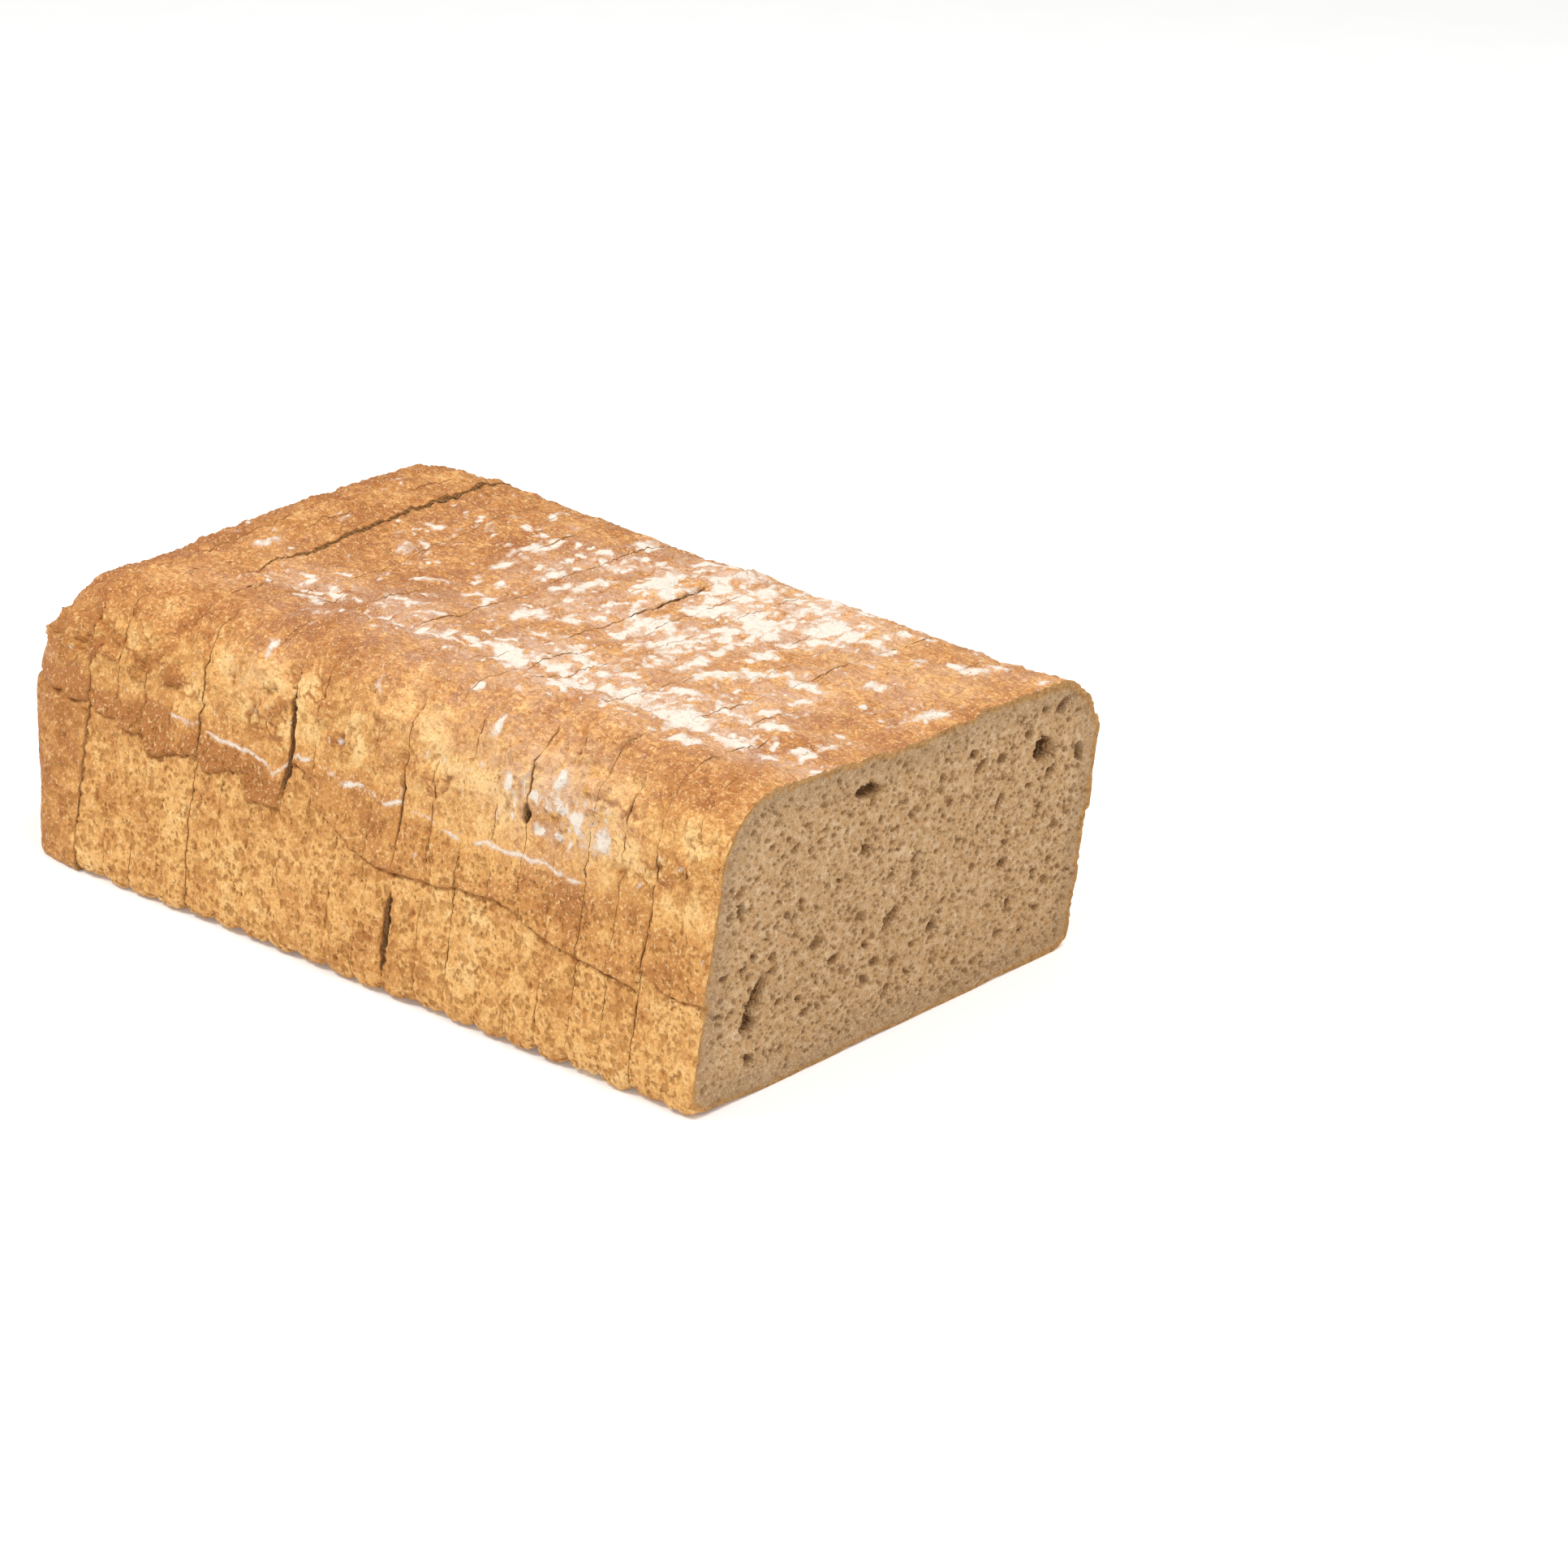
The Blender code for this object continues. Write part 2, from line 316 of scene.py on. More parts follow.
def far_seam(x):
    return 47 + 4 * np.sin(x / 31.0 + 1) + 2.2 * np.sin(x / 11.0) \
        + 1.2 * np.sin(x / 4.7)


def crust(x, v, p, side_z, n=0):
    """Relief in millimetres, outward, and the masks of the crust.

    x: along the loaf. v: round the section. p: place on the smooth loaf.
    side_z: height that stands for the place up the side. n: the slice.
    """
    near = (v < 150).astype(float)
    n3 = np.stack([x, v, 0 * x], -1)
    own_p = p + 37.0 * n                          # breaks off at the cuts
    wob = 1.3 * noise(p, 9.0, 21) + 0.7 * noise(p, 3.2, 22)
    seam = np.where(near > 0, seam_height(x), far_seam(x)) + 0.5 * wob
    d_seam = side_z - seam                       # above the fold: positive
    base = v > FOOT_FAR
    up = (~base).astype(float)
    sides = smooth(80, 70, side_z) * up
    low = smooth(0.3, -0.3, d_seam) * up         # pitted side
    flour_v = np.where(near > 0, np.interp(x, FLOUR_LINE[:, 0], FLOUR_LINE[:, 1]),
                       seam + 13) + 0.8 * wob
    band = smooth(-0.3, 0.3, d_seam) * smooth(5.0, -5.0, side_z - flour_v) * up
    top = smooth(72, 92, side_z) * up
    shoulder = smooth(-2, 10, side_z - flour_v) * up      # lumpy upper crust
    heelish = smooth(-84, -112, x)
    f15, f23, f33 = noise(p, 1.55, 12), noise(p, 2.4, 13), noise(p, 4.6, 14)

    r = np.zeros_like(x)
    # slow swells, and slices that stand a little apart
    r += 0.80 * noise(p, 46.0, 1) + 0.45 * noise(p, 19.0, 2)
    r += 0.26 * noise(p, 8.0, 3) + 0.24 * noise(own_p, 24.0, 8) \
        + 0.14 * noise(own_p, 9.0, 70)
    # the upper crust folds over the pitted side
    over = smooth(-0.25, 0.25, d_seam)
    step = 0.75 + 0.25 * smooth(-0.4, 0.5, noise(p, 26.0, 4))
    r += 1.60 * step * over * np.exp(-np.clip(d_seam, 0, 99) / 10.0) * up
    groove = bell(d_seam, -0.55, 0.55) * up
    r -= 0.75 * step * groove
    # bits of crust caught in the fold
    r += 0.9 * smooth(0.2, 0.6, noise(p, 3.4, 5)) * bell(d_seam, -0.6, 1.1) * up

    # sponge print of the side
    spongy = 0.62 * f23 + 0.52 * f15 + 0.22 * f33
    jig = p + 0.75 * np.stack([noise(p, 1.9, 40), noise(p, 1.9, 41),
                               noise(p, 1.9, 42)], -1)
    a1, _, ao = worley(jig, (2.7, 2.5, 2.5), 11)
    b1, _, bo = worley(jig, (1.55, 1.5, 1.5), 43)
    pit_low = np.maximum(smooth(0.30 + 0.34 * ao, 0.06 + 0.34 * ao, a1) * (ao > 0.15),
                         0.85 * smooth(0.22 + 0.38 * bo, 0.02 + 0.34 * bo, b1)
                         * (bo > 0.25))
    pit_low = np.clip(pit_low * (0.85 + 0.5 * f33) + 0.15 * f15, 0, 1)
    pit_band = np.clip(smooth(0.24 + 0.40 * bo, 0.02 + 0.36 * bo, b1)
                       * (bo > 0.15) * (0.8 + 0.5 * f33) + 0.2 * f15, 0, 1)
    pit_up = smooth(0.26, 0.62, spongy + 0.1 * noise(p, 14.0, 46))
    pit = low * pit_low + band * pit_band + up * np.clip(1 - low - band, 0, 1) \
        * pit_up
    r += up * (0.10 * f15 + 0.12 * f23)
    r -= low * (0.66 * pit_low - 0.22) + band * 0.50 * pit_band \
        + up * np.clip(1 - low - band, 0, 1) * 0.30 * pit_up * (1 - 0.6 * top)
    # a few deeper holes
    h1, _, hown = worley(p + 1.2 * f33[..., None], 9.0, 61)
    hole = smooth(0.17, 0.08, h1) * (hown > 0.62)
    r -= (low * 1.2 + band * 0.8 + 0.7 * shoulder * (1 - top)) * hole

    # lumps, dents and torn skins of the upper crust
    lump = 0.90 * noise(p, 7.5, 15) + 0.62 * noise(p, 3.6, 16) \
        + 0.26 * f23 + 0.20 * f15
    r += shoulder * (lump * (1 - 0.45 * top)) * (0.75 + 0.6 * heelish)
    q1, _, qown = worley(p + 2.0 * f33[..., None], (12.0, 9.0, 8.0), 47)
    dent = smooth(0.36, 0.12, q1) * (qown > 0.45)
    r -= shoulder * (1 - top) * 1.35 * dent
    torn = np.zeros_like(x)
    for seed, size, deep in ((48, (17, 12, 10), 0.95), (49, (11, 9, 7), 0.70),
                             (50, (24, 9, 14), 0.85)):
        t = noise(p, size, seed) + 0.35 * noise(p, 4.0, seed + 100) \
            + 0.12 * noise(p, 1.6, seed + 200)
        where = smooth(-0.10, 0.25, noise(p, 22.0, seed + 300) + 0.30 * heelish)
        where = where * shoulder * (1 - 0.75 * top)
        r += deep * (1 + 0.5 * heelish) * where * (smooth(-0.03, 0.03, t)
                                                   * np.exp(-np.clip(t, 0, 9) * 2.2))
        torn = np.maximum(torn, where * np.exp(-((t + 0.035) / 0.045) ** 2))
    jag = np.stack([noise(p, 3.4, 90), noise(p, 3.4, 91), noise(p, 3.4, 92)], -1) \
        + 0.5 * np.stack([f15, f23, noise(p, 1.7, 93)], -1)
    _, _, flake1 = worley(p + 1.3 * jag, (10.0, 7.0, 7.5), 87)
    k1, k2, flake2 = worley(p + 0.8 * jag, (5.2, 4.0, 4.2), 88)
    flaky = shoulder * (1 - 0.72 * top) * smooth(
        -0.22, 0.30, noise(p, 21.0, 89) + 0.22 * smooth(10, -60, x))
    crackle = np.exp(-((k2 - k1) / 0.10) ** 2) * flaky \
        * smooth(-0.05, 0.30, noise(p, 10.0, 94) + 0.15 * heelish)
    r += flaky * (1.10 * (flake1 - 0.5) + 0.65 * (flake2 - 0.5)) - 0.40 * crackle
    c1, c2, _ = worley(p + 2.2 * np.stack([noise(p, 5.0, 64), noise(p, 5.0, 65),
                                           noise(p, 5.0, 66)], -1),
                       (17.0, 13.0, 13.0), 62)
    crack = np.exp(-((c2 - c1) / 0.032) ** 2) \
        * smooth(-0.05, 0.30, noise(p, 16.0, 63) + 0.25 * heelish) * shoulder
    r -= 0.75 * crack * (1 - 0.35 * top)
    # recess where the folds meet the heel
    for hx, hv, sx, sv, deep in ((-118, 97, 4.5, 4.0, 2.0),
                                 (-124, 88, 3.0, 6.0, 1.2),
                                 (-108, 103, 6.0, 2.2, 1.4),
                                 (-119, 79, 2.4, 3.4, 1.1),
                                 (-96, 109, 7.0, 2.0, 1.2)):
        r -= deep * near * np.exp(-((x - hx + 0.8 * f33) / sx) ** 2
                                  - ((v - hv + 1.2 * f33) / sv) ** 2)

    # folds of the near shoulder and the crease above them
    lobe = np.zeros_like(x)
    for lx, lv, sx, sv, rise in LOBES:
        turn = 0.35 * (x - lx)
        lobe = np.maximum(lobe, 1.35 * rise * np.exp(
            -((x - lx) / sx) ** 2 - ((v - lv + turn) / sv) ** 2))
    r += lobe * near * (v < 125)
    cr = v - np.interp(x, CREASE[:, 0], CREASE[:, 1]) - 1.2 * noise(n3, 11.0, 17)
    deep = 0.9 + 0.9 * bell(x, -62, 30) + 0.5 * bell(x, 85, 20)
    r -= near * deep * (np.exp(-(cr / 4.2) ** 2) + 0.45 * np.exp(-(cr / 0.9) ** 2)) \
        * smooth(-132, -110, x)
    # creases between the folds, running down to the near side
    fold = np.zeros_like(x)
    for cx, ca in ((-88, 0.4), (-44, 0.55), (-8, 0.45), (19, 0.6), (52, 0.5),
                   (84, 0.55), (108, 0.4)):
        line = (x - cx) - ca * (112 - v) - 1.8 * noise(n3, 9.0, 18)
        fold = np.maximum(fold, near * np.exp(-(line / 1.3) ** 2)
                          * smooth(74, 84, v) * smooth(116, 106, v))
    r -= 0.85 * fold
    # swirls of wrinkles round two folds
    swirl = np.zeros_like(x)
    for cx, cv, size in ((68, 91, 17), (-30, 86, 13), (30, 96, 11), (-72, 82, 11)):
        sw = np.hypot(x - cx, (v - cv) * 1.1) + 1.5 * noise(n3, 6.0, 19)
        swirl += np.cos(sw * 2 * math.pi / 3.1) * smooth(size, 0.5 * size, sw) \
            * smooth(1.5, 4, sw) * near
    r += 0.50 * swirl * smooth(-0.4, 0.2, noise(n3, 8.0, 20))

    # skin of the top: wrinkles that follow the loaf's length
    wr = noise(np.stack([x + 0.25 * v, v, 0 * x], -1), (7.0, 2.1, 9), 23)
    wr2 = noise(np.stack([x + 0.15 * v, v, 0 * x], -1), (4.0, 1.5, 9), 24)
    r += top * (0.26 * wr + 0.20 * wr2 + 0.16 * f23)
    gully = np.exp(-(noise(n3, (30.0, 12.0, 9), 25) / 0.045) ** 2) \
        * smooth(0.0, 0.4, noise(n3, 20.0, 26)) * top
    r -= 0.55 * gully
    r += top * 0.45 * noise(p, 12.0, 27)

    # flour
    dens = (0.54 * bell(x, 38, 70) + 0.16 * bell(x, 100, 35)
            + 0.20 * bell(x, -70, 45)) * smooth(88, 108, v) * smooth(250, 226, v)
    dens += 0.34 * bell(x, 18, 48) * bell(v, 194, 28) - 0.14 * bell(x, 112, 30) \
        * smooth(130, 150, v)
    dens += 0.20 * bell(x, -50, 42) * bell(v, 168, 40)
    dens += 0.26 * bell(v, 117, 8) * smooth(-110, -70, x)
    spot = noise(n3 + 3, (5.0, 6.4, 9), 28) * 0.75 \
        + noise(n3, (2.5, 3.2, 9), 29) * 0.42
    patch = noise(n3, (24, 17, 9), 30)
    flour = smooth(0.52, 0.95, 0.85 * spot + 0.62 * dens + 0.22 * patch) \
        * smooth(62, 84, v) * smooth(262, 240, v)
    cloud = 0.80 * noise(n3, (12.0, 13.0, 9), 58) + 0.42 * noise(n3, (5.4, 6.6, 9), 59) \
        + 0.20 * noise(n3, (2.3, 2.8, 9), 60)
    flour = np.maximum(flour, smooth(0.50, 1.10, cloud + 0.78 * dens)
                       * smooth(100, 112, v) * smooth(250, 232, v))
    for size, seed, big in (((8.0, 10.0, 9.0), 83, 0.50), ((4.6, 5.8, 9.0), 84, 0.48),
                            ((3.0, 3.6, 9.0), 95, 0.46)):
        e1, _, eo = worley(np.stack([x + 1.6 * f33, v + 1.2 * f23, 0 * x], -1),
                           size, seed, 0.8)
        share = np.clip(1.05 * dens + 0.30 * patch, 0, 0.8)
        radius = big * np.clip((eo - 1 + share) / 0.8, 0, 1) ** 0.5
        flour = np.maximum(flour, smooth(1.15, 0.45, e1 / (radius + 1e-3))
                           * (radius > 0.08))
    ragged = 0.50 * noise(n3, (5.0, 6.0, 9), 31) \
        + 0.32 * noise(n3, (2.3, 2.8, 9), 32)
    for bx, bv, la, lb, turn in BLOTCHES:
        c, s = math.cos(turn), math.sin(turn)
        a = ((x - bx) * c + (v - bv) * s) / la
        b = (-(x - bx) * s + (v - bv) * c) / lb
        flour = np.maximum(flour, smooth(-0.02, 0.85, 1.0 - np.hypot(a, b)
                                         + 0.9 * ragged) * (np.hypot(a, b) < 1.8))
    # streaks along the crease
    streak = noise(n3, (13.0, 1.5, 9), 33) + 0.35 * noise(n3, (5.0, 1.2, 9), 67)
    flour = np.maximum(flour, 0.95 * near * smooth(0.05, 0.55, streak
                                                   - 0.05 * np.abs(cr))
                       * smooth(6.5, 1, np.abs(cr - 1)) * smooth(-105, -88, x)
                       * smooth(112, 95, x))
    # the thin line that the next loaf's dough left
    dl = side_z - flour_v
    line = np.exp(-(dl / 0.7) ** 2) * smooth(-0.25, 0.25, noise(n3, (6, 3, 9), 34)
                                             + 0.12) * near
    line *= smooth(-92, -88, x) * smooth(92, 84, x)
    flour = np.maximum(flour, 0.80 * line)
    # loose dust on the near side
    dusty = (0.5 * bell(x, 66, 20) * bell(v, 70, 13)
             + 0.25 * bell(x, 40, 40) * bell(v, 80, 16)
             + 0.2 * bell(x, -57, 12) * bell(v, 78, 10))
    dust = smooth(0.50, 1.0, 0.8 * noise(n3, (3.0, 3.8, 9), 35)
                  + 0.4 * noise(n3, (1.6, 2.0, 9), 68) + dusty)
    flour = np.maximum(flour, 0.9 * dust * near * smooth(50, 60, v) * sides)
    flour = flour * up
    film = np.clip((1.00 * dens + 1.2 * patch * dens)
                   * (1 - 0.85 * smooth(-35, -65, x) * smooth(128, 150, v)) + 1.2 * dusty * near
                   + 0.22 * bell(x, 0, 40) * bell(v, 98, 12) * near, 0, 1) * up

    # how brown: 0 pale gold, 1 well browned
    tone = (0.42 + 0.14 * noise(p, 34.0, 36) + 0.20 * noise(p, 11.0, 37)
            + 0.14 * noise(p, 4.2, 38) + 0.08 * noise(own_p, 16.0, 69))
    tone += flaky * (0.62 * (flake1 - 0.5) + 0.46 * (flake2 - 0.5)) * (1 - 0.3 * top)
    # darker towards the heel on the near side
    tone += 0.14 * smooth(-50, -104, x) * near * (1 - top)
    tone += 0.30 * band + 0.20 * top + 0.16 * top * bell(x, -60, 50)
    tone += 0.24 * band * smooth(-20, -70, x)
    tone -= 0.04 * low
    tone -= 0.34 * shoulder * (1 - top) * smooth(-0.05, 0.40, noise(p, 12.0, 39))
    tone += 0.12 * np.exp(-(cr / 7.0) ** 2) * near + 0.35 * base
    tone += 0.16 * shoulder * (1 - top) * np.clip(lobe / 1.5, 0, 1)
    tone -= 0.12 * swirl
    # darker still at the heel's end
    tone += 0.20 * smooth(-122, -136, x)
    # painted shade: darker colour in the fold's groove under the overhang, in holes, torn
    # skins, cracks, crackle, creases and gullies, and at one small spot on the near side by the
    # heel
    cav = np.clip(1.0 * step * bell(d_seam, -0.40, 0.42) * up
                  + 0.55 * (low + band) * hole
                  + 0.4 * shoulder * (1 - top) * hole, 0, 1)
    cav = np.maximum(cav, 0.42 * torn)
    cav = np.maximum(cav, 0.46 * crack)
    cav = np.maximum(cav, 0.78 * crackle)
    cav = np.maximum(cav, 0.36 * fold)
    cav = np.maximum(cav, 0.35 * gully)
    red = near * bell(x, -111, 1.2) * bell(v, 26, 2.2)
    cav = np.maximum(cav, 0.65 * red)
    return r, {"low": low, "band": band, "top": top, "flour": flour,
               "film": film, "tone": tone, "cav": cav, "pit": pit}


# ------------------------------------------------------------ mesh building
def normals(p, centre):
    du = np.gradient(p, axis=0)
    dv = np.roll(p, -1, axis=1) - np.roll(p, 1, axis=1)
    n = np.cross(dv, du)
    n /= np.linalg.norm(n, axis=-1, keepdims=True) + 1e-9
    if ((p - centre) * n).sum(-1).mean() < 0:
        n = -n
    return n


def grid_faces(rows, cols, offset=0):
    i = np.arange(rows - 1)[:, None] * cols
    j = np.arange(cols)[None, :]
    k = (j + 1) % cols
    return (offset + np.stack([i + j, i + k, i + cols + k, i + cols + j],
                              -1)).reshape(-1, 4)


def make_mesh(name, verts, quads, tris, ngons, slots, masks, smooth_ngons=False):
    """verts in millimetres. slots: material index of quads, tris, ngons."""
    loops, starts, totals, mats, flat = [], [], [], [], []
    at = 0
    for group, slot in ((quads, slots[0]), (tris, slots[1])):
        if group is None or not len(group):
            continue
        g = np.asarray(group, np.int32)
        n, k = g.shape
        loops.append(g.reshape(-1))
        starts.append(at + np.arange(n) * k)
        totals.append(np.full(n, k))
        mats.append(np.full(n, slot) if np.isscalar(slot) else np.asarray(slot))
        flat.append(np.ones(n, bool))
        at += n * k
    for g in ngons:
        g = np.asarray(g, np.int32)
        loops.append(g)
        starts.append(np.array([at]))
        totals.append(np.array([len(g)]))
        mats.append(np.array([slots[2]]))
        flat.append(np.array([smooth_ngons]))
        at += len(g)
    me = bpy.data.meshes.new(name)
    me.vertices.add(len(verts))
    me.vertices.foreach_set("co", (np.asarray(verts) / 1000.0)
                            .astype(np.float32).reshape(-1))
    loops = np.concatenate(loops).astype(np.int32)
    me.loops.add(len(loops))
    me.loops.foreach_set("vertex_index", loops)
    starts = np.concatenate(starts).astype(np.int32)
    me.polygons.add(len(starts))
    me.polygons.foreach_set("loop_start", starts)
    me.polygons.foreach_set("loop_total", np.concatenate(totals).astype(np.int32))
    me.polygons.foreach_set("material_index",
                            np.concatenate(mats).astype(np.int32))
    me.polygons.foreach_set("use_smooth", np.concatenate(flat))
    me.update(calc_edges=True)
    me.validate()
    for key, values in masks.items():
        a = me.attributes.new(key, "FLOAT", "POINT")
        a.data.foreach_set("value", np.asarray(values, np.float32).reshape(-1))
    obj = bpy.data.objects.new(name, me)
    bpy.context.scene.collection.objects.link(obj)
    return obj


def mark_sharp(me, pairs):
    """Edges between crust and cut face are sharp."""
    key = {tuple(sorted(p)) for p in pairs}
    ev = np.zeros(len(me.edges) * 2, np.int32)
    me.edges.foreach_get("vertices", ev)
    ev = ev.reshape(-1, 2)
    sharp = np.fromiter((tuple(sorted(e)) in key for e in ev.tolist()), bool,
                        len(ev))
    a = me.attributes.get("sharp_edge") or me.attributes.new(
        "sharp_edge", "BOOLEAN", "EDGE")
    a.data.foreach_set("value", sharp)


def round_key(v, m=M):
    return np.concatenate([np.arange(m)])


SHIFT = np.array([SHX, SHY, 0.0])
R_INNER = 17
STEPS = np.concatenate([[0.0, 0.22, 0.55, 1.0],
                        np.linspace(1.6, PITCH - 1.6, R_INNER),
                        [PITCH - 1.0, PITCH - 0.55, PITCH - 0.22, PITCH]])


def finish_points(p, n, r, v):
    """Relief along the normal, and nothing below the table."""
    q = p + n * r[..., None]
    q[..., 2] = np.maximum(q[..., 2], 0.0)
    base = v > FOOT_FAR
    return np.where(base[..., None] & (q[..., 2:3] < 0.35),
                    np.concatenate([q[..., :2], np.maximum(q[..., 2:3], 0)], -1), q)


def slice_points(n):
    x0 = -CUT + PITCH * (n - 1)
    shift = 0.22 * rule(n, 1)
    w = W + 0.20 * rule(n, 2)
    h = H + 0.14 * rule(n, 3)
    g0, g1 = cut_gape(n - 1, V) / 2.0, cut_gape(n, V) / 2.0
    if n == COUNT:
        g1 = g1 * 0 + 0.15
    s0, s1 = cut_sway(n - 1, V), cut_sway(n, V)
    if n == COUNT:
        s1 = s1 * 0.0
    a = x0 + g0 + s0
    b = x0 + PITCH - g1 + s1
    t = (STEPS / PITCH)[:, None]
    x = a[None, :] * (1 - t) + b[None, :] * t
    v = np.broadcast_to(V[None, :], x.shape)
    y, z = section(x, v, w, h, shift)
    p = np.stack([x, y, z], -1)
    nrm = normals(p, np.array([x0 + PITCH / 2, 0.0, 42.0]))
    side_z = np.where(v < 150, v, FOOT_FAR - v)
    side_z = np.where(v > FOOT_FAR, 0.0, side_z)
    r, masks = crust(x, v, p, side_z, n)
    # the crust rounds off at the cuts, more where the cut gapes
    d0, d1 = STEPS[:, None], PITCH - STEPS[:, None]
    def tear(k):
        q = np.stack([x * 0 + 5.3 * k, v, 0 * x], -1)
        side = smooth(104, 86, v) + smooth(250, 266, v)
        return np.clip(0.08 + 0.30 * noise(q, 2.4, 44) + 0.36 * noise(q, 9.0, 45),
                       0.0, 1) * (0.22 + 0.78 * side) * (0.5 if k == 0 else 1.0)

    def valley(k):
        q = np.stack([x * 0 + 9.1 * k, v, 0 * x], -1)
        side = smooth(70, 50, v) + smooth(260, 276, v)
        return (0.05 + 0.35 * side) * (0.8 + 0.7 * noise(q, 14.0, 57))
    ease0 = (tear(n - 1) + 0.35 * np.clip(2 * g0[None, :], 0, 1.2)) \
        * np.exp(-(d0 / 0.45))
    ease1 = (tear(n) + 0.35 * np.clip(2 * g1[None, :], 0, 1.2)) \
        * np.exp(-(d1 / 0.45))
    if n == COUNT:
        ease1 = ease1 * 0.6
    r = r - ease0 - ease1 - valley(n - 1) * np.exp(-d0 / 1.7) \
        - valley(n) * np.exp(-d1 / 1.7) * (n < COUNT)
    # slices sag a little between cuts at the foot, and stand proud elsewhere
    r = r + 0.14 * np.sin(math.pi * t) - 0.07 + 0.07 * rule(n, 6)
    foot = smooth(9, 0, side_z) * (v <= FOOT_FAR)
    r = r - foot * (0.8 * np.exp(-d0 / 1.5) + 0.8 * np.exp(-d1 / 1.5)
                    + 0.6 * np.clip(noise(p, 4.0, 53), 0, 1) + 0.4)
    if n == 12:          # raised lip beside the open crack of the top
        r = r + 2.3 * np.exp(-d0 / 2.0) * bell(v, 214, 11)
    if n == 3:           # the top steps down at the second cut
        r = r - (0.35 + 0.4 * bell(v, 196, 34)) * np.exp(-d0 / 2.2) \
            * smooth(108, 120, v) * smooth(236, 222, v)
    if n == 2:
        r = r + 0.4 * np.exp(-d1 / 3.0) * smooth(108, 120, v) * smooth(236, 222, v)
    if n == 11:
        r = r - 0.9 * np.exp(-d1 / 3.0) * bell(v, 208, 14)
    if n == 20:
        r = r - 0.5 * np.exp(-d1 / 2.0) * bell(v, 175, 26)
    masks["tone"] = masks["tone"] + 0.05 * rule(n, 5)
    # painted shade in the open cuts: darker where a cut gapes
    line = np.clip(2 * g0[None, :] / 0.6 - 0.1, 0, 1) * np.exp(-d0 / 0.4) \
        + np.clip(2 * g1[None, :] / 0.6 - 0.1, 0, 1) * np.exp(-d1 / 0.4)
    if n == COUNT:
        line = line * 0
    masks["cav"] = np.clip(np.maximum(masks["cav"], 1.05 * line), 0, 1)
    q = finish_points(p, nrm, r, v)
    # the foot is lifted and ragged at the cuts
    lift = (1.3 + 1.0 * rule(n, 8)) * np.exp(-d0 / 1.6) \
        + (1.3 + 1.0 * rule(n + 1, 8)) * np.exp(-d1 / 1.6) \
        + 1.5 * np.clip(noise(p, 3.2, 54) + 0.6 * noise(p, 9.0, 55), 0, 1)
    edge = smooth(30, 4, np.minimum(np.abs(v - 0.0), np.abs(TOTAL - v)))
    q[..., 2] += np.clip(lift, 0, 2.6) * smooth(5, 0, q[..., 2]) * edge
    inset = [q[k] + SHIFT - np.stack([0 * V, nrm[k, :, 1], nrm[k, :, 2]], -1)
             / (np.hypot(nrm[k, :, 1], nrm[k, :, 2])[:, None] + 1e-6)
             * (2.5 + r[k][:, None]) for k in (0, -1)]
    return q + SHIFT, masks, inset


CRUST_MASKS = ("low", "band", "top", "flour", "film", "tone", "cav", "pit")


def outward(faces, verts, centre):
    """Turns the faces so that they look away from centre."""
    f = faces[len(faces) // 3]
    a, b, c = verts[f[0]], verts[f[1]], verts[f[2]]
    n = np.cross(b - a, c - a)
    return faces if np.dot(n, (a + b + c) / 3 - centre) > 0 else faces[:, ::-1]


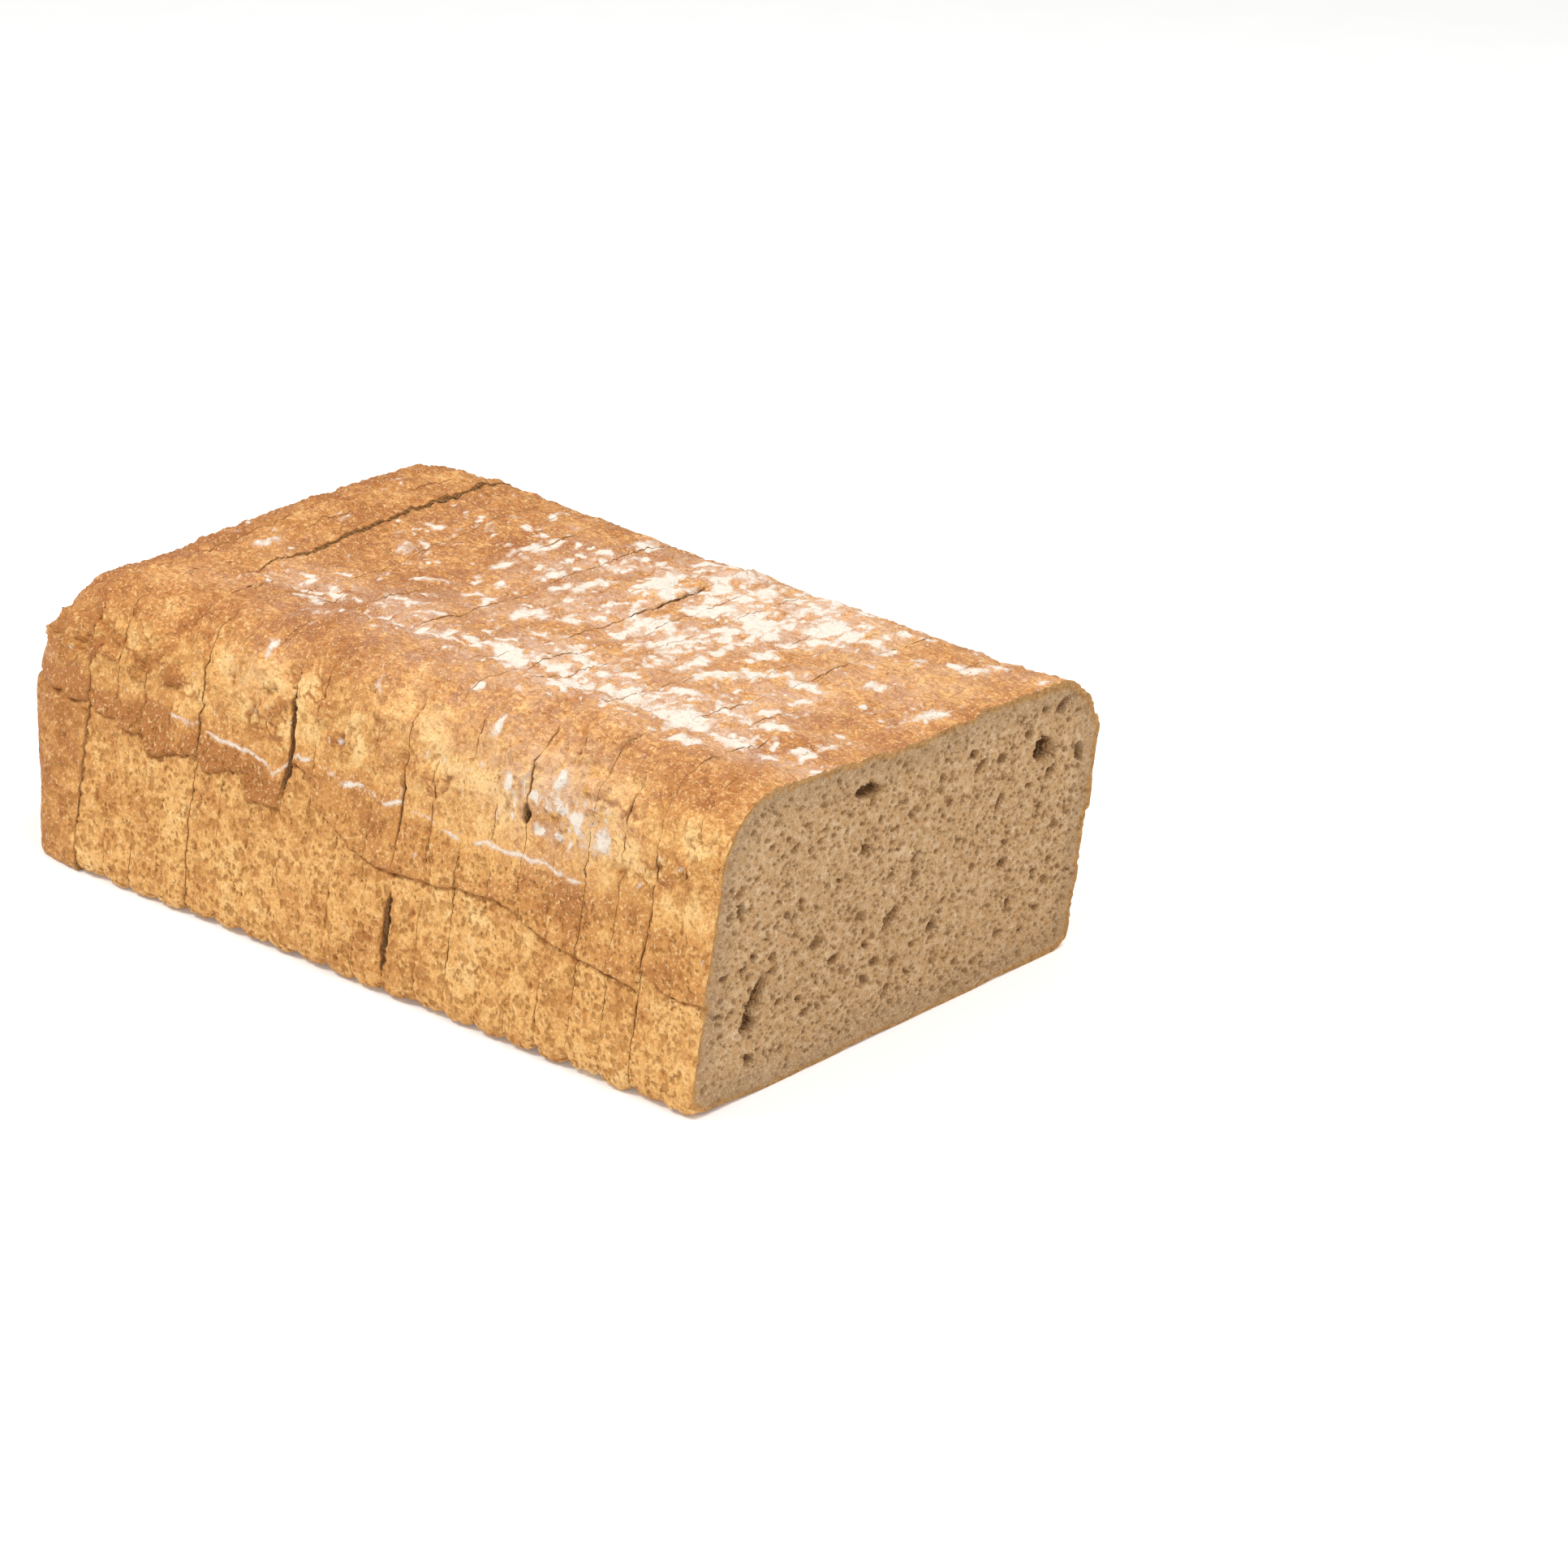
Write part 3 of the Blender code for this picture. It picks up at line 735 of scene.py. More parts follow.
def build_slice(n, mats):
    q, masks, inset = slice_points(n)
    rows = q.shape[0]
    verts = q.reshape(-1, 3)
    centre = verts.mean(0)
    quads = grid_faces(rows, M)
    flat = {k: masks[k].reshape(-1) for k in CRUST_MASKS}
    flip = outward(quads, verts, centre) is not quads
    if flip:
        quads = quads[:, ::-1]
    first, last = np.arange(M), (rows - 1) * M + np.arange(M)
    name = "bread_slice_%02d" % n
    pairs = [(int(r[j]), int(r[(j + 1) % M])) for r in (first, last)
             for j in range(M)]
    rim = np.zeros(len(verts))
    rim[first] = 1.0
    rim[last] = 1.0
    dense = np.ones(len(verts)) * 0.5
    # rims of the cut faces: crust outside, crumb inside
    quad_list, cap_quads, caps = [quads], [], []
    sides = [(first, inset[0], -1)]
    if n < COUNT:
        sides.append((last, inset[1], 1))
    for outer, ring, way in sides:
        at = len(verts)
        verts = np.concatenate([verts, ring])
        rim = np.concatenate([rim, np.zeros(M)])
        dense = np.concatenate([dense, np.ones(M) * 0.5])
        j = np.arange(M)
        k = (j + 1) % M
        rq = np.stack([outer[j], outer[k], at + k, at + j], -1)
        cap = at + j
        a, b, c = verts[cap[0]], verts[cap[M // 3]], verts[cap[2 * M // 3]]
        if np.cross(b - a, c - a)[0] * way < 0:
            cap = cap[::-1]
            # the rim's faces turn with the cap
        f = rq[M // 3]
        if np.cross(verts[f[1]] - verts[f[0]],
                    verts[f[3]] - verts[f[0]])[0] * way < 0:
            rq = rq[:, ::-1]
        cap_quads.append(rq)
        caps.append(cap)
    all_quads = np.concatenate(quad_list + cap_quads)
    slots = np.concatenate([np.zeros(len(quads), int),
                            np.ones(sum(len(c) for c in cap_quads), int)])
    extra_n = len(verts) - rows * M
    for k in CRUST_MASKS:
        flat[k] = np.concatenate([flat[k], np.zeros(extra_n)])
    if n < COUNT:
        flat["rim"], flat["dense"] = rim, dense
        flat["wall_highlight"] = dense * 0
        # painted shade on the cut faces between slices
        flat["cav"][rows * M:] = 0.25
        obj = make_mesh(name, verts, all_quads, None, caps, (slots, 0, 1), flat)
    else:
        extra, tris, em = crumb_face(verts[last])
        # indexes under M are the crust's last ring
        base = len(verts)
        tri = np.where(tris < M, last[np.clip(tris, 0, M - 1)], tris - M + base)
        verts = np.concatenate([verts, extra])
        for k in CRUST_MASKS:
            flat[k] = np.concatenate([flat[k], np.zeros(len(extra))])
        flat["rim"] = np.concatenate([rim, em["rim"]])
        flat["dense"] = np.concatenate([dense, em["dense"]])
        flat["wall_highlight"] = np.concatenate([dense * 0, em["wall_highlight"]])
        flat["cav"][base:] = em["cav"]
        f = tri[len(tri) // 2]
        if np.cross(verts[f[1]] - verts[f[0]], verts[f[2]] - verts[f[0]])[0] < 0:
            tri = tri[:, ::-1]
        obj = make_mesh(name, verts, all_quads, tri, caps, (slots, 1, 1), flat)
    print(name, sum(len(f.vertices) - 2 for f in obj.data.polygons))
    for m in mats:
        obj.data.materials.append(m)
    mark_sharp(obj.data, pairs)
    return obj


# holes of the open cut: across, up, half across, half up, depth, turn
HOLES = [
    (60.5, 64.3, 4.3, 3.8, 5.4, 0.0), (68.4, 75.0, 2.6, 1.9, 2.6, 0.5),
    (76.3, 59.1, 1.8, 2.8, 3.0, 0.0), (54.2, 70.5, 1.8, 1.5, 1.8, 0.3),
    (41.9, 66.8, 2.2, 1.6, 1.8, 0.3), (33.1, 67.0, 3.6, 1.1, 1.8, 0.5),
    (-14.4, 73.9, 5.4, 2.0, 3.8, -0.1), (-15.5, 57.2, 1.9, 1.4, 2.2, 0.0),
    (-65.2, 55.2, 1.2, 2.2, 2.2, 0.0), (-4.8, 33.1, 4.8, 1.9, 2.2, 0.75),
    (12.5, 25.1, 2.2, 1.7, 2.4, 0.2), (-17.6, 38.0, 2.2, 1.4, 1.6, 0.2),
    (-11.4, 22.7, 2.2, 1.3, 1.8, 0.1), (-35.2, 35.8, 2.2, 1.8, 2.0, 0.5),
    (-28.5, 28.8, 2.2, 1.5, 2.0, 0.2), (41.2, 53.6, 3.4, 1.4, 2.0, 1.0),
    (-60.1, 26.9, 8.0, 2.4, 4.0, 0.95), (-62.6, 20.6, 3.4, 2.1, 4.0, 0.2),
    (59.0, 47.5, 1.4, 1.2, 1.4, 0.0), (-44.0, 66.0, 1.5, 1.0, 1.2, 0.4),
    (20.0, 60.0, 1.6, 1.1, 1.3, 0.4), (30.0, 38.0, 1.4, 1.1, 1.2, 0.0),
    (-47.0, 48.0, 1.4, 1.1, 1.2, 0.0), (5.0, 48.0, 1.5, 1.2, 1.2, 0.8),
    (62.0, 24.0, 1.6, 1.2, 1.4, 0.3), (45.0, 20.0, 1.5, 1.1, 1.2, 0.3),
    (66.0, 40.0, 1.5, 1.6, 1.4, 0.0), (-40.0, 17.0, 1.7, 1.1, 1.4, 0.2)]


def crumb_face(ring):
    """The open cut. ring is the crust's last ring, in its own order; returns
    further vertices, triangles (numbers under M are the ring's) and masks."""
    yz = ring[:, 1:]
    x0 = float(ring[:, 0].mean())
    lo, hi = yz.min(0), yz.max(0)
    step = 0.445
    rows = int((hi[1] - lo[1]) / (step * 0.866)) + 1
    pts = []
    rng = np.random.default_rng(7)
    for r in range(rows):
        z = lo[1] + r * step * 0.866
        y = np.arange(lo[0] + (0.5 * step if r % 2 else 0.0), hi[0], step)
        pts.append(np.stack([y, np.full(len(y), z)], -1))
    pts = np.concatenate(pts)
    pts += rng.uniform(-0.10, 0.10, pts.shape)
    # keep what lies inside the ring, a little away from it
    inside = np.zeros(len(pts), bool)
    j = len(yz) - 1
    for i in range(len(yz)):
        (y1, z1), (y2, z2) = yz[i], yz[j]
        hit = ((z1 > pts[:, 1]) != (z2 > pts[:, 1]))
        with np.errstate(divide="ignore", invalid="ignore"):
            cross = (y2 - y1) * (pts[:, 1] - z1) / (z2 - z1) + y1
        inside ^= hit & (pts[:, 0] < cross)
        j = i
    pts = pts[inside]
    dist = edge_distance(pts, yz)
    keep = dist > 0.33
    pts, dist = pts[keep], dist[keep]
    allp = np.concatenate([yz, pts])
    edges = [(i, (i + 1) % M) for i in range(M)]
    out = delaunay_2d_cdt([Vector((float(a), float(b))) for a, b in allp], edges,
                          [], 1, 1e-7)
    vo = np.array([tuple(v) for v in out[0]])
    faces = [f for f in out[2] if len(f) == 3]
    tris = np.array(faces, np.int64)
    orig = out[3]
    back = np.array([o[0] if len(o) else -1 for o in orig])
    if (back < 0).any():
        raise RuntimeError("cut face: the outline crosses itself")
    tris = back[tris]
    y, z = pts[:, 0], pts[:, 1]
    depth, masks = crumb_relief(y, z, dist)
    verts = np.stack([x0 - depth, y, z], -1)
    return verts, tris, masks


def edge_distance(pts, ring):
    a, b = ring, np.roll(ring, -1, axis=0)
    d = b - a
    L = (d * d).sum(1) + 1e-12
    out = np.empty(len(pts))
    for s in range(0, len(pts), 8000):
        q = pts[s:s + 8000, None, :]
        t = np.clip(((q - a) * d).sum(-1) / L, 0, 1)
        c = a + t[..., None] * d
        out[s:s + 8000] = np.sqrt(((q - c) ** 2).sum(-1).min(1))
    return out


def crumb_relief(y, z, dist):
    p = np.stack([0 * y, y, z], -1)
    open_ = smooth(1.2, 6.0, dist)
    warp = np.stack([0 * y, noise(p, 2.6, 71), noise(p, 2.6, 72)], -1)
    f1, _, own = worley(p + 0.5 * warp, (4.0, 3.0, 2.5), 73)
    wide_cell = smooth(0.16 + 0.26 * own, 0.04 + 0.20 * own, f1) * (own > 0.52)
    g1, _, gown = worley(p + 0.3 * warp, (4.0, 1.42, 1.22), 74)
    cell = smooth(0.24 + 0.26 * gown, 0.08 + 0.20 * gown, g1)
    big1, _, bown = worley(p + 1.1 * warp, (9.0, 7.0, 5.2), 75)
    big = smooth(0.30, 0.16, big1) * smooth(0.62, 0.85, bown)
    amount = 0.45 + 0.55 * open_
    depth = amount * (1.05 * wide_cell + 0.62 * cell) + open_ * 1.6 * big \
        + 0.34 * noise(p, 8.0, 77) + 0.20 * noise(p, 2.4, 79)
    # painted shade: the crumb is darker in its cells and large holes
    cav = np.clip(amount * (0.42 * wide_cell + 0.34 * cell)
                  + 0.75 * open_ * big, 0, 1)
    # painted highlight: the walls between the cells are lighter; the same mask also raises the
    # bump
    wall_highlight = smooth(0.42, 0.72, g1) * (1 - wide_cell) * (1 - big) * smooth(
        -0.5, 0.3, noise(p, 3.0, 85))
    ragged = 0.17 * noise(p, 1.9, 78)
    for hy, hz, ry, rz, deep, turn in HOLES:
        c, s = math.cos(turn), math.sin(turn)
        a = ((y - hy) * c + (z - hz) * s) / ry
        b = (-(y - hy) * s + (z - hz) * c) / rz
        m = smooth(1.07, 0.84, np.hypot(a, b) + ragged)
        depth = depth * (1 - 0.6 * m) + deep * m
        # painted shade inside the listed holes
        cav = np.maximum(cav, smooth(0.25, 0.75, m) * min(1.0, 0.45 + deep / 7.0))
        wall_highlight = wall_highlight * (1 - m)
    # the crust stands a touch proud round the crumb
    depth = depth * smooth(0.2, 1.4, dist)
    thick = 1.7 + 0.9 * smooth(40, 66, y) + 0.5 * smooth(70, 84, z)
    rim = smooth(thick, thick - 1.1, dist + 0.7 * noise(p, 2.2, 80)
                 + 0.4 * noise(p, 6.0, 82))
    dense = smooth(12.0, 2.0, dist + 1.8 * noise(p, 9.0, 81))
    return depth, {"rim": rim, "dense": dense, "cav": cav, "wall_highlight": wall_highlight}


def heel_reach(z):
    return HEEL * (0.72 + 0.28 * np.exp(-((z - 53.0) / 27.0) ** 2))


def build_heel(mats):
    """Rounded end, from the middle of its face outward to the first cut."""
    edge_rows, disc_rows = 46, 60
    rows_x, rows_y, rows_z, rows_s = [], [], [], []
    y1, z1 = section(-CUT - 5.0, V, W - 15.0, H - 23.0)
    cy, cz = 0.5 * (y1.min() + y1.max()), 0.45 * z1.max()
    for i in range(1, disc_rows):
        f = (i / disc_rows)
        yy, zz = cy + (y1 - cy) * f, cz + (z1 - cz) * f
        rows_x.append(-CUT - heel_reach(zz)); rows_y.append(yy); rows_z.append(zz)
        rows_s.append(f)
    g = cut_gape(0, V) / 2.0
    sway = cut_sway(0, V)
    a_list = np.concatenate([np.linspace(HP, 0.10, edge_rows),
                             [0.06, 0.034, 0.018, 0.008, 0.0]])
    for a in a_list:
        c = 1.0 - math.cos(a)
        yy, zz = section(-CUT - 5.0 * math.sin(a), V, W - 15.0 * c, H - 23.0 * c)
        xx = -CUT - heel_reach(zz) * math.sin(a) + (sway - g) * math.cos(a) ** 6
        rows_x.append(xx); rows_y.append(yy); rows_z.append(zz); rows_s.append(1.0)
    p = np.stack([np.array(rows_x), np.array(rows_y), np.array(rows_z)], -1)
    s = np.array(rows_s)[:, None]
    nrm = normals(p, np.array([-CUT - 8.0, cy, cz]))
    v = np.broadcast_to(V[None, :], p.shape[:2])
    z = p[..., 2]
    side_z = np.where(v < 150, np.minimum(v, z * 1.02 + 1.7), 0)
    side_z = np.where(v >= 150, np.minimum(FOOT_FAR - v, z + 1.7), side_z)
    top_like = smooth(60, 80, z)
    on_end = smooth(-CUT - 10, -CUT - 22, p[..., 0])
    side_z = side_z * (1 - on_end) + on_end * (z + 1.7 + 8 * top_like)
    vv = np.where((v > FOOT_FAR) & (on_end > 0.5), 20.0, v)
    x_feat = p[..., 0]
    r, masks = crust(x_feat, vv, p, side_z)
    # lower half stands out in a step, as dough that met its neighbour
    stepz = 52 + 2.0 * noise(p, 12.0, 51)
    r = r + 1.6 * smooth(0.8, -0.8, z - stepz) * smooth(-CUT - 7, -CUT - 17,
                                                       p[..., 0]) * smooth(-40, -55, p[..., 1])
    d1 = -CUT - p[..., 0]
    r = r - (0.10 + 0.3 * np.clip(2 * g, 0, 1)[None, :]) * np.exp(
        -np.clip(d1, 0, 99) / 0.42)
    # painted shade along the heel's edge at the first cut
    masks["cav"] = np.maximum(masks["cav"], 0.22 * np.exp(-np.clip(d1, 0, 99) / 0.35))
    # the whole heel is darker
    masks["tone"] = masks["tone"] + 0.12
    speckled = smooth(54, 50, z) * on_end
    masks["low"] = np.maximum(masks["low"], speckled)
    masks["band"] = masks["band"] * (1 - speckled)
    masks["flour"] = masks["flour"] * smooth(-CUT - 26, -CUT - 12, p[..., 0])
    fade = smooth(0.0, 0.25, s)
    r = r * fade
    q = finish_points(p, nrm, r, v) + SHIFT
    rows = q.shape[0]
    verts = q.reshape(-1, 3)
    tip = np.array([[-CUT - float(heel_reach(np.array([cz]))[0]), cy, cz]]) + SHIFT
    quads = grid_faces(rows, M)
    centre = verts.mean(0)
    mid = quads[len(quads) - M * 3:]
    if outward(mid, verts, centre) is not mid:
        quads = quads[:, ::-1]
    last = (rows - 1) * M + np.arange(M)
    a, b, c = verts[last[0]], verts[last[M // 3]], verts[last[2 * M // 3]]
    cap = last if np.cross(b - a, c - a)[0] > 0 else last[::-1]
    verts = np.concatenate([verts, tip])
    t = len(verts) - 1
    j = np.arange(M)
    fan = np.stack([np.full(M, t), (j + 1) % M, j], -1)
    if np.cross(verts[fan[0, 1]] - verts[t], verts[fan[0, 2]] - verts[t])[0] > 0:
        fan = fan[:, ::-1]
    flat = {k: np.concatenate([masks[k].reshape(-1), masks[k][0].mean()[None]])
            for k in CRUST_MASKS}
    flat["rim"] = np.zeros(len(verts))
    flat["rim"][last] = 0.6
    flat["dense"] = np.zeros(len(verts)) + 0.5
    flat["wall_highlight"] = np.zeros(len(verts))
    obj = make_mesh("bread_heel", verts, quads, fan, [cap], (0, 0, 1), flat)
    for m in mats:
        obj.data.materials.append(m)
    mark_sharp(obj.data, [(int(last[k]), int(last[(k + 1) % M])) for k in range(M)])
    return obj


# --------------------------------------------------------------- materials
class Nodes:
    """Short names for making a node tree."""

    def __init__(self, name):
        self.mat = bpy.data.materials.new(name)
        self.mat.use_nodes = True
        self.t = self.mat.node_tree
        self.t.nodes.clear()

    def node(self, kind, **settings):
        n = self.t.nodes.new(kind)
        for k, v in settings.items():
            setattr(n, k, v)
        return n

    def link(self, a, b):
        self.t.links.new(a, b)

    def attr(self, name):
        return self.node("ShaderNodeAttribute", attribute_name=name).outputs["Fac"]

    def put(self, socket, value):
        if isinstance(value, bpy.types.NodeSocket):
            self.link(value, socket)
        else:
            socket.default_value = value

    def math(self, op, a, b=None, c=None, clamp=False):
        n = self.node("ShaderNodeMath", operation=op, use_clamp=clamp)
        self.put(n.inputs[0], a)
        if b is not None:
            self.put(n.inputs[1], b)
        if c is not None:
            self.put(n.inputs[2], c)
        return n.outputs[0]

    def band(self, value, a, b, lo=0.0, hi=1.0):
        n = self.node("ShaderNodeMapRange", interpolation_type="SMOOTHSTEP")
        self.put(n.inputs["Value"], value)
        self.put(n.inputs["From Min"], a)
        self.put(n.inputs["From Max"], b)
        self.put(n.inputs["To Min"], lo)
        self.put(n.inputs["To Max"], hi)
        return n.outputs["Result"]

    def noise(self, coord, scale, detail=2.0, rough=0.5, warp=0.0):
        n = self.node("ShaderNodeTexNoise")
        self.link(coord, n.inputs["Vector"])
        n.inputs["Scale"].default_value = scale
        n.inputs["Detail"].default_value = detail
        n.inputs["Roughness"].default_value = rough
        n.inputs["Distortion"].default_value = warp
        return n.outputs["Fac"]

    def voronoi(self, coord, scale, feature="F1", rand=1.0):
        n = self.node("ShaderNodeTexVoronoi", feature=feature)
        self.link(coord, n.inputs["Vector"])
        n.inputs["Scale"].default_value = scale
        n.inputs["Randomness"].default_value = rand
        return n.outputs["Distance"]

    def stretch(self, coord, scale):
        n = self.node("ShaderNodeMapping")
        self.link(coord, n.inputs["Vector"])
        n.inputs["Scale"].default_value = scale
        return n.outputs["Vector"]

    def ramp(self, fac, stops):
        n = self.node("ShaderNodeValToRGB")
        r = n.color_ramp
        r.interpolation = "EASE"
        while len(r.elements) < len(stops):
            r.elements.new(0.5)
        for e, (at, col) in zip(r.elements, stops):
            e.position = at
            e.color = (*col, 1.0)
        self.link(fac, n.inputs["Fac"])
        return n.outputs["Color"]

    def mix(self, fac, a, b, mode="MIX"):
        n = self.node("ShaderNodeMix", data_type="RGBA", blend_type=mode)
        self.put(n.inputs["Factor"], fac)
        for s, v in ((n.inputs[6], a), (n.inputs[7], b)):
            if isinstance(v, bpy.types.NodeSocket):
                self.link(v, s)
            else:
                s.default_value = (*v, 1.0)
        return n.outputs[2]

    def finish(self, colour, rough, height, bump=0.6, dist=0.001, spec=0.3,
               sheen=0.0):
        b = self.node("ShaderNodeBsdfPrincipled")
        self.link(colour, b.inputs["Base Color"])
        self.put(b.inputs["Roughness"], rough)
        b.inputs["Specular IOR Level"].default_value = spec
        b.inputs["Sheen Weight"].default_value = sheen
        n = self.node("ShaderNodeBump")
        n.inputs["Strength"].default_value = bump
        n.inputs["Distance"].default_value = dist
        self.link(height, n.inputs["Height"])
        self.link(n.outputs["Normal"], b.inputs["Normal"])
        out = self.node("ShaderNodeOutputMaterial")
        self.link(b.outputs["BSDF"], out.inputs["Surface"])
        return self.mat


def crust_material():
    k = Nodes("crust")
    co = k.node("ShaderNodeTexCoord").outputs["Object"]
    low, band, top = k.attr("low"), k.attr("band"), k.attr("top")
    flour, film = k.attr("flour"), k.attr("film")
    tone, cav, pit = k.attr("tone"), k.attr("cav"), k.attr("pit")

    fine = k.noise(co, 1500.0, 3.0, 0.62)
    grain = k.noise(co, 640.0, 4.0, 0.62, 0.25)
    mid = k.noise(co, 230.0, 3.0, 0.55)
    wide = k.noise(co, 62.0, 2.0, 0.5)
    skin = k.noise(k.stretch(co, (0.55, 1.5, 1.2)), 560.0, 4.0, 0.62, 0.6)
    rest = k.math("SUBTRACT", 1.0, k.math("ADD", low, band, clamp=True),
                  clamp=True)

    # brown in the pits, paler ridges between them
    f = k.math("ADD", pit, k.math("MULTIPLY", k.math("SUBTRACT", grain, 0.5), 1.3))
    f = k.math("ADD", f, k.math("MULTIPLY", k.math("SUBTRACT", fine, 0.5), 0.8))
    pores = k.band(f, 0.22, 0.80)
    strength = k.math("ADD", k.math("MULTIPLY", low, 0.74),
                      k.math("MULTIPLY", band, 0.80))
    strength = k.math("ADD", strength, k.math("MULTIPLY", rest, 0.66))
    pores = k.math("MULTIPLY", pores, strength, clamp=True)
    # small specks
    grit = k.noise(co, 900.0, 2.0, 0.7, 0.3)
    speck = k.band(k.math("ADD", grit, k.math("MULTIPLY", k.math(
        "SUBTRACT", fine, 0.5), 0.5)), 0.47, 0.34, 0.0, 0.60)
    light = k.band(k.math("ADD", grit, k.math("MULTIPLY", k.math(
        "SUBTRACT", fine, 0.5), 0.6)), 0.54, 0.70, 0.0, 0.65)

    t = k.math("ADD", tone, k.math("MULTIPLY", k.math("SUBTRACT", mid, 0.5), 0.95))
    t = k.math("ADD", t, k.math("MULTIPLY", k.math("SUBTRACT", wide, 0.5), 0.55))
    t = k.math("ADD", t, k.math("MULTIPLY", k.math(
        "MULTIPLY", k.math("SUBTRACT", grain, 0.5), rest), 1.25))
    t = k.math("ADD", t, k.math("MULTIPLY", k.math(
        "MULTIPLY", k.math("SUBTRACT", skin, 0.5), top), 1.5), clamp=True)
    side = k.ramp(t, [(0.0, (0.87, 0.56, 0.225)), (0.35, (0.77, 0.415, 0.130)),
                      (0.65, (0.60, 0.275, 0.072)), (1.0, (0.41, 0.150, 0.033))])
    upper = k.ramp(t, [(0.0, (0.86, 0.54, 0.23)), (0.35, (0.73, 0.37, 0.125)),
                       (0.65, (0.54, 0.225, 0.062)), (1.0, (0.36, 0.118, 0.028))])
    colour = k.mix(top, side, upper)
    colour = k.mix(light, colour, (0.91, 0.63, 0.30))
    colour = k.mix(k.math("MULTIPLY", pores, 0.92), colour, (0.45, 0.190, 0.042))
    colour = k.mix(speck, colour, (0.47, 0.195, 0.040))
    # painted shade: warm brown, then near black where the painted shade mask is strongest
    colour = k.mix(k.band(cav, 0.05, 0.60, 0.0, 0.85), colour, (0.46, 0.175, 0.036))
    colour = k.mix(k.band(cav, 0.45, 1.05, 0.0, 0.95), colour, (0.15, 0.055, 0.013))
    # thin film of flour: a pink bloom
    bloom = k.math("MULTIPLY", film, k.band(k.math("ADD", mid, k.math(
        "MULTIPLY", fine, 0.5)), 0.52, 0.92), clamp=True)
    colour = k.mix(k.math("MULTIPLY", bloom, 0.80), colour, (0.76, 0.53, 0.39))
    # flour with ragged edges
    f = k.math("ADD", flour, k.math("MULTIPLY", k.math("SUBTRACT", fine, 0.5), 0.8))
    f = k.math("ADD", f, k.math("MULTIPLY", k.math("SUBTRACT", grain, 0.5), 0.7))
    halo = k.band(f, 0.08, 0.50, 0.0, 0.60)
    colour = k.mix(halo, colour, (0.77, 0.55, 0.40))
    white = k.band(f, 0.30, 0.82)
    colour = k.mix(k.math("MULTIPLY", white, 0.96), colour, (0.84, 0.745, 0.64))

    rough = k.math("ADD", 0.62, k.math("MULTIPLY", white, 0.3))
    rough = k.math("ADD", rough, k.math("MULTIPLY", k.math(
        "SUBTRACT", fine, 0.5), 0.25), clamp=True)
    height = k.math("SUBTRACT", k.math("MULTIPLY", fine, 0.30),
                    k.math("MULTIPLY", pores, 0.55))
    height = k.math("ADD", height, k.math("MULTIPLY", grain, 0.85))
    height = k.math("ADD", height, k.math("MULTIPLY", grit, 0.45))
    height = k.math("ADD", height, k.math("MULTIPLY", k.math(
        "MULTIPLY", skin, top), 0.9))
    height = k.math("ADD", height, k.math("MULTIPLY", white, 0.12))
    return k.finish(colour, rough, height, 1.0, 0.0010, 0.30, 0.0)


def crumb_material():
    k = Nodes("crumb")
    co = k.node("ShaderNodeTexCoord").outputs["Object"]
    rim, dense, cav = k.attr("rim"), k.attr("dense"), k.attr("cav")
    wall_highlight = k.attr("wall_highlight")
    fine = k.noise(co, 2100.0, 3.0, 0.65)
    mid = k.noise(co, 520.0, 3.0, 0.6, 0.4)
    wide = k.noise(co, 45.0, 2.0, 0.5)
    cells = k.voronoi(co, 1250.0)
    t = k.math("ADD", 0.44, k.math("MULTIPLY", k.math("SUBTRACT", mid, 0.5), 0.55))
    t = k.math("ADD", t, k.math("MULTIPLY", k.math("SUBTRACT", cells, 0.45), 0.30))
    t = k.math("ADD", t, k.math("MULTIPLY", k.math("SUBTRACT", fine, 0.5), 0.30),
               clamp=True)
    colour = k.ramp(t, [(0.10, (0.36, 0.185, 0.072)), (0.45, (0.58, 0.340, 0.155)),
                        (0.85, (0.78, 0.53, 0.285))])
    # painted highlight on the cell walls
    colour = k.mix(k.math("MULTIPLY", wall_highlight, 0.50), colour, (0.86, 0.64, 0.41))
    # painted shade in the cells and holes, near black where deepest
    colour = k.mix(k.math("MULTIPLY", cav, 0.80), colour, (0.27, 0.130, 0.045))
    colour = k.mix(k.band(cav, 0.62, 0.95, 0.0, 0.90), colour, (0.12, 0.055, 0.020))
    colour = k.mix(k.math("MULTIPLY", dense, 0.50), colour, (0.40, 0.260, 0.150))
    glint = k.noise(co, 1700.0, 2.0, 0.6, 0.2)
    colour = k.mix(k.band(glint, 0.57, 0.70, 0.0, 0.60), colour, (0.92, 0.76, 0.55))
    colour = k.mix(k.band(wide, 0.35, 0.65, 0.0, 0.22), colour, (0.52, 0.30, 0.125))
    crust_c = k.ramp(k.math("ADD", mid, 0.0), [(0.2, (0.36, 0.165, 0.050)),
                                               (0.75, (0.60, 0.34, 0.120))])
    colour = k.mix(k.math("MULTIPLY", rim, 0.9), colour, crust_c)
    height = k.math("ADD", k.math("MULTIPLY", cells, 0.8),
                    k.math("MULTIPLY", fine, 0.45))
    height = k.math("ADD", height, k.math("MULTIPLY", mid, 0.6))
    height = k.math("ADD", height, k.math("MULTIPLY", wall_highlight, 0.5))
    return k.finish(colour, 0.9, height, 1.0, 0.0009, 0.2, 0.0)


def floor_material():
    k = Nodes("floor")
    co = k.node("ShaderNodeTexCoord").outputs["Object"]
    n = k.noise(co, 30.0, 2.0, 0.5)
    colour = k.mix(k.band(n, 0.3, 0.7, 0.0, 1.0), (0.90, 0.90, 0.90),
                   (0.915, 0.915, 0.915))
    mat = k.finish(colour, 0.8, n, 0.02, 0.0001, 0.1)
    shader = next(x for x in mat.node_tree.nodes
                  if x.type == "BSDF_PRINCIPLED")
    shader.inputs["Emission Color"].default_value = (1.0, 0.995, 0.985, 1.0)
    shader.inputs["Emission Strength"].default_value = 0.13
    return mat


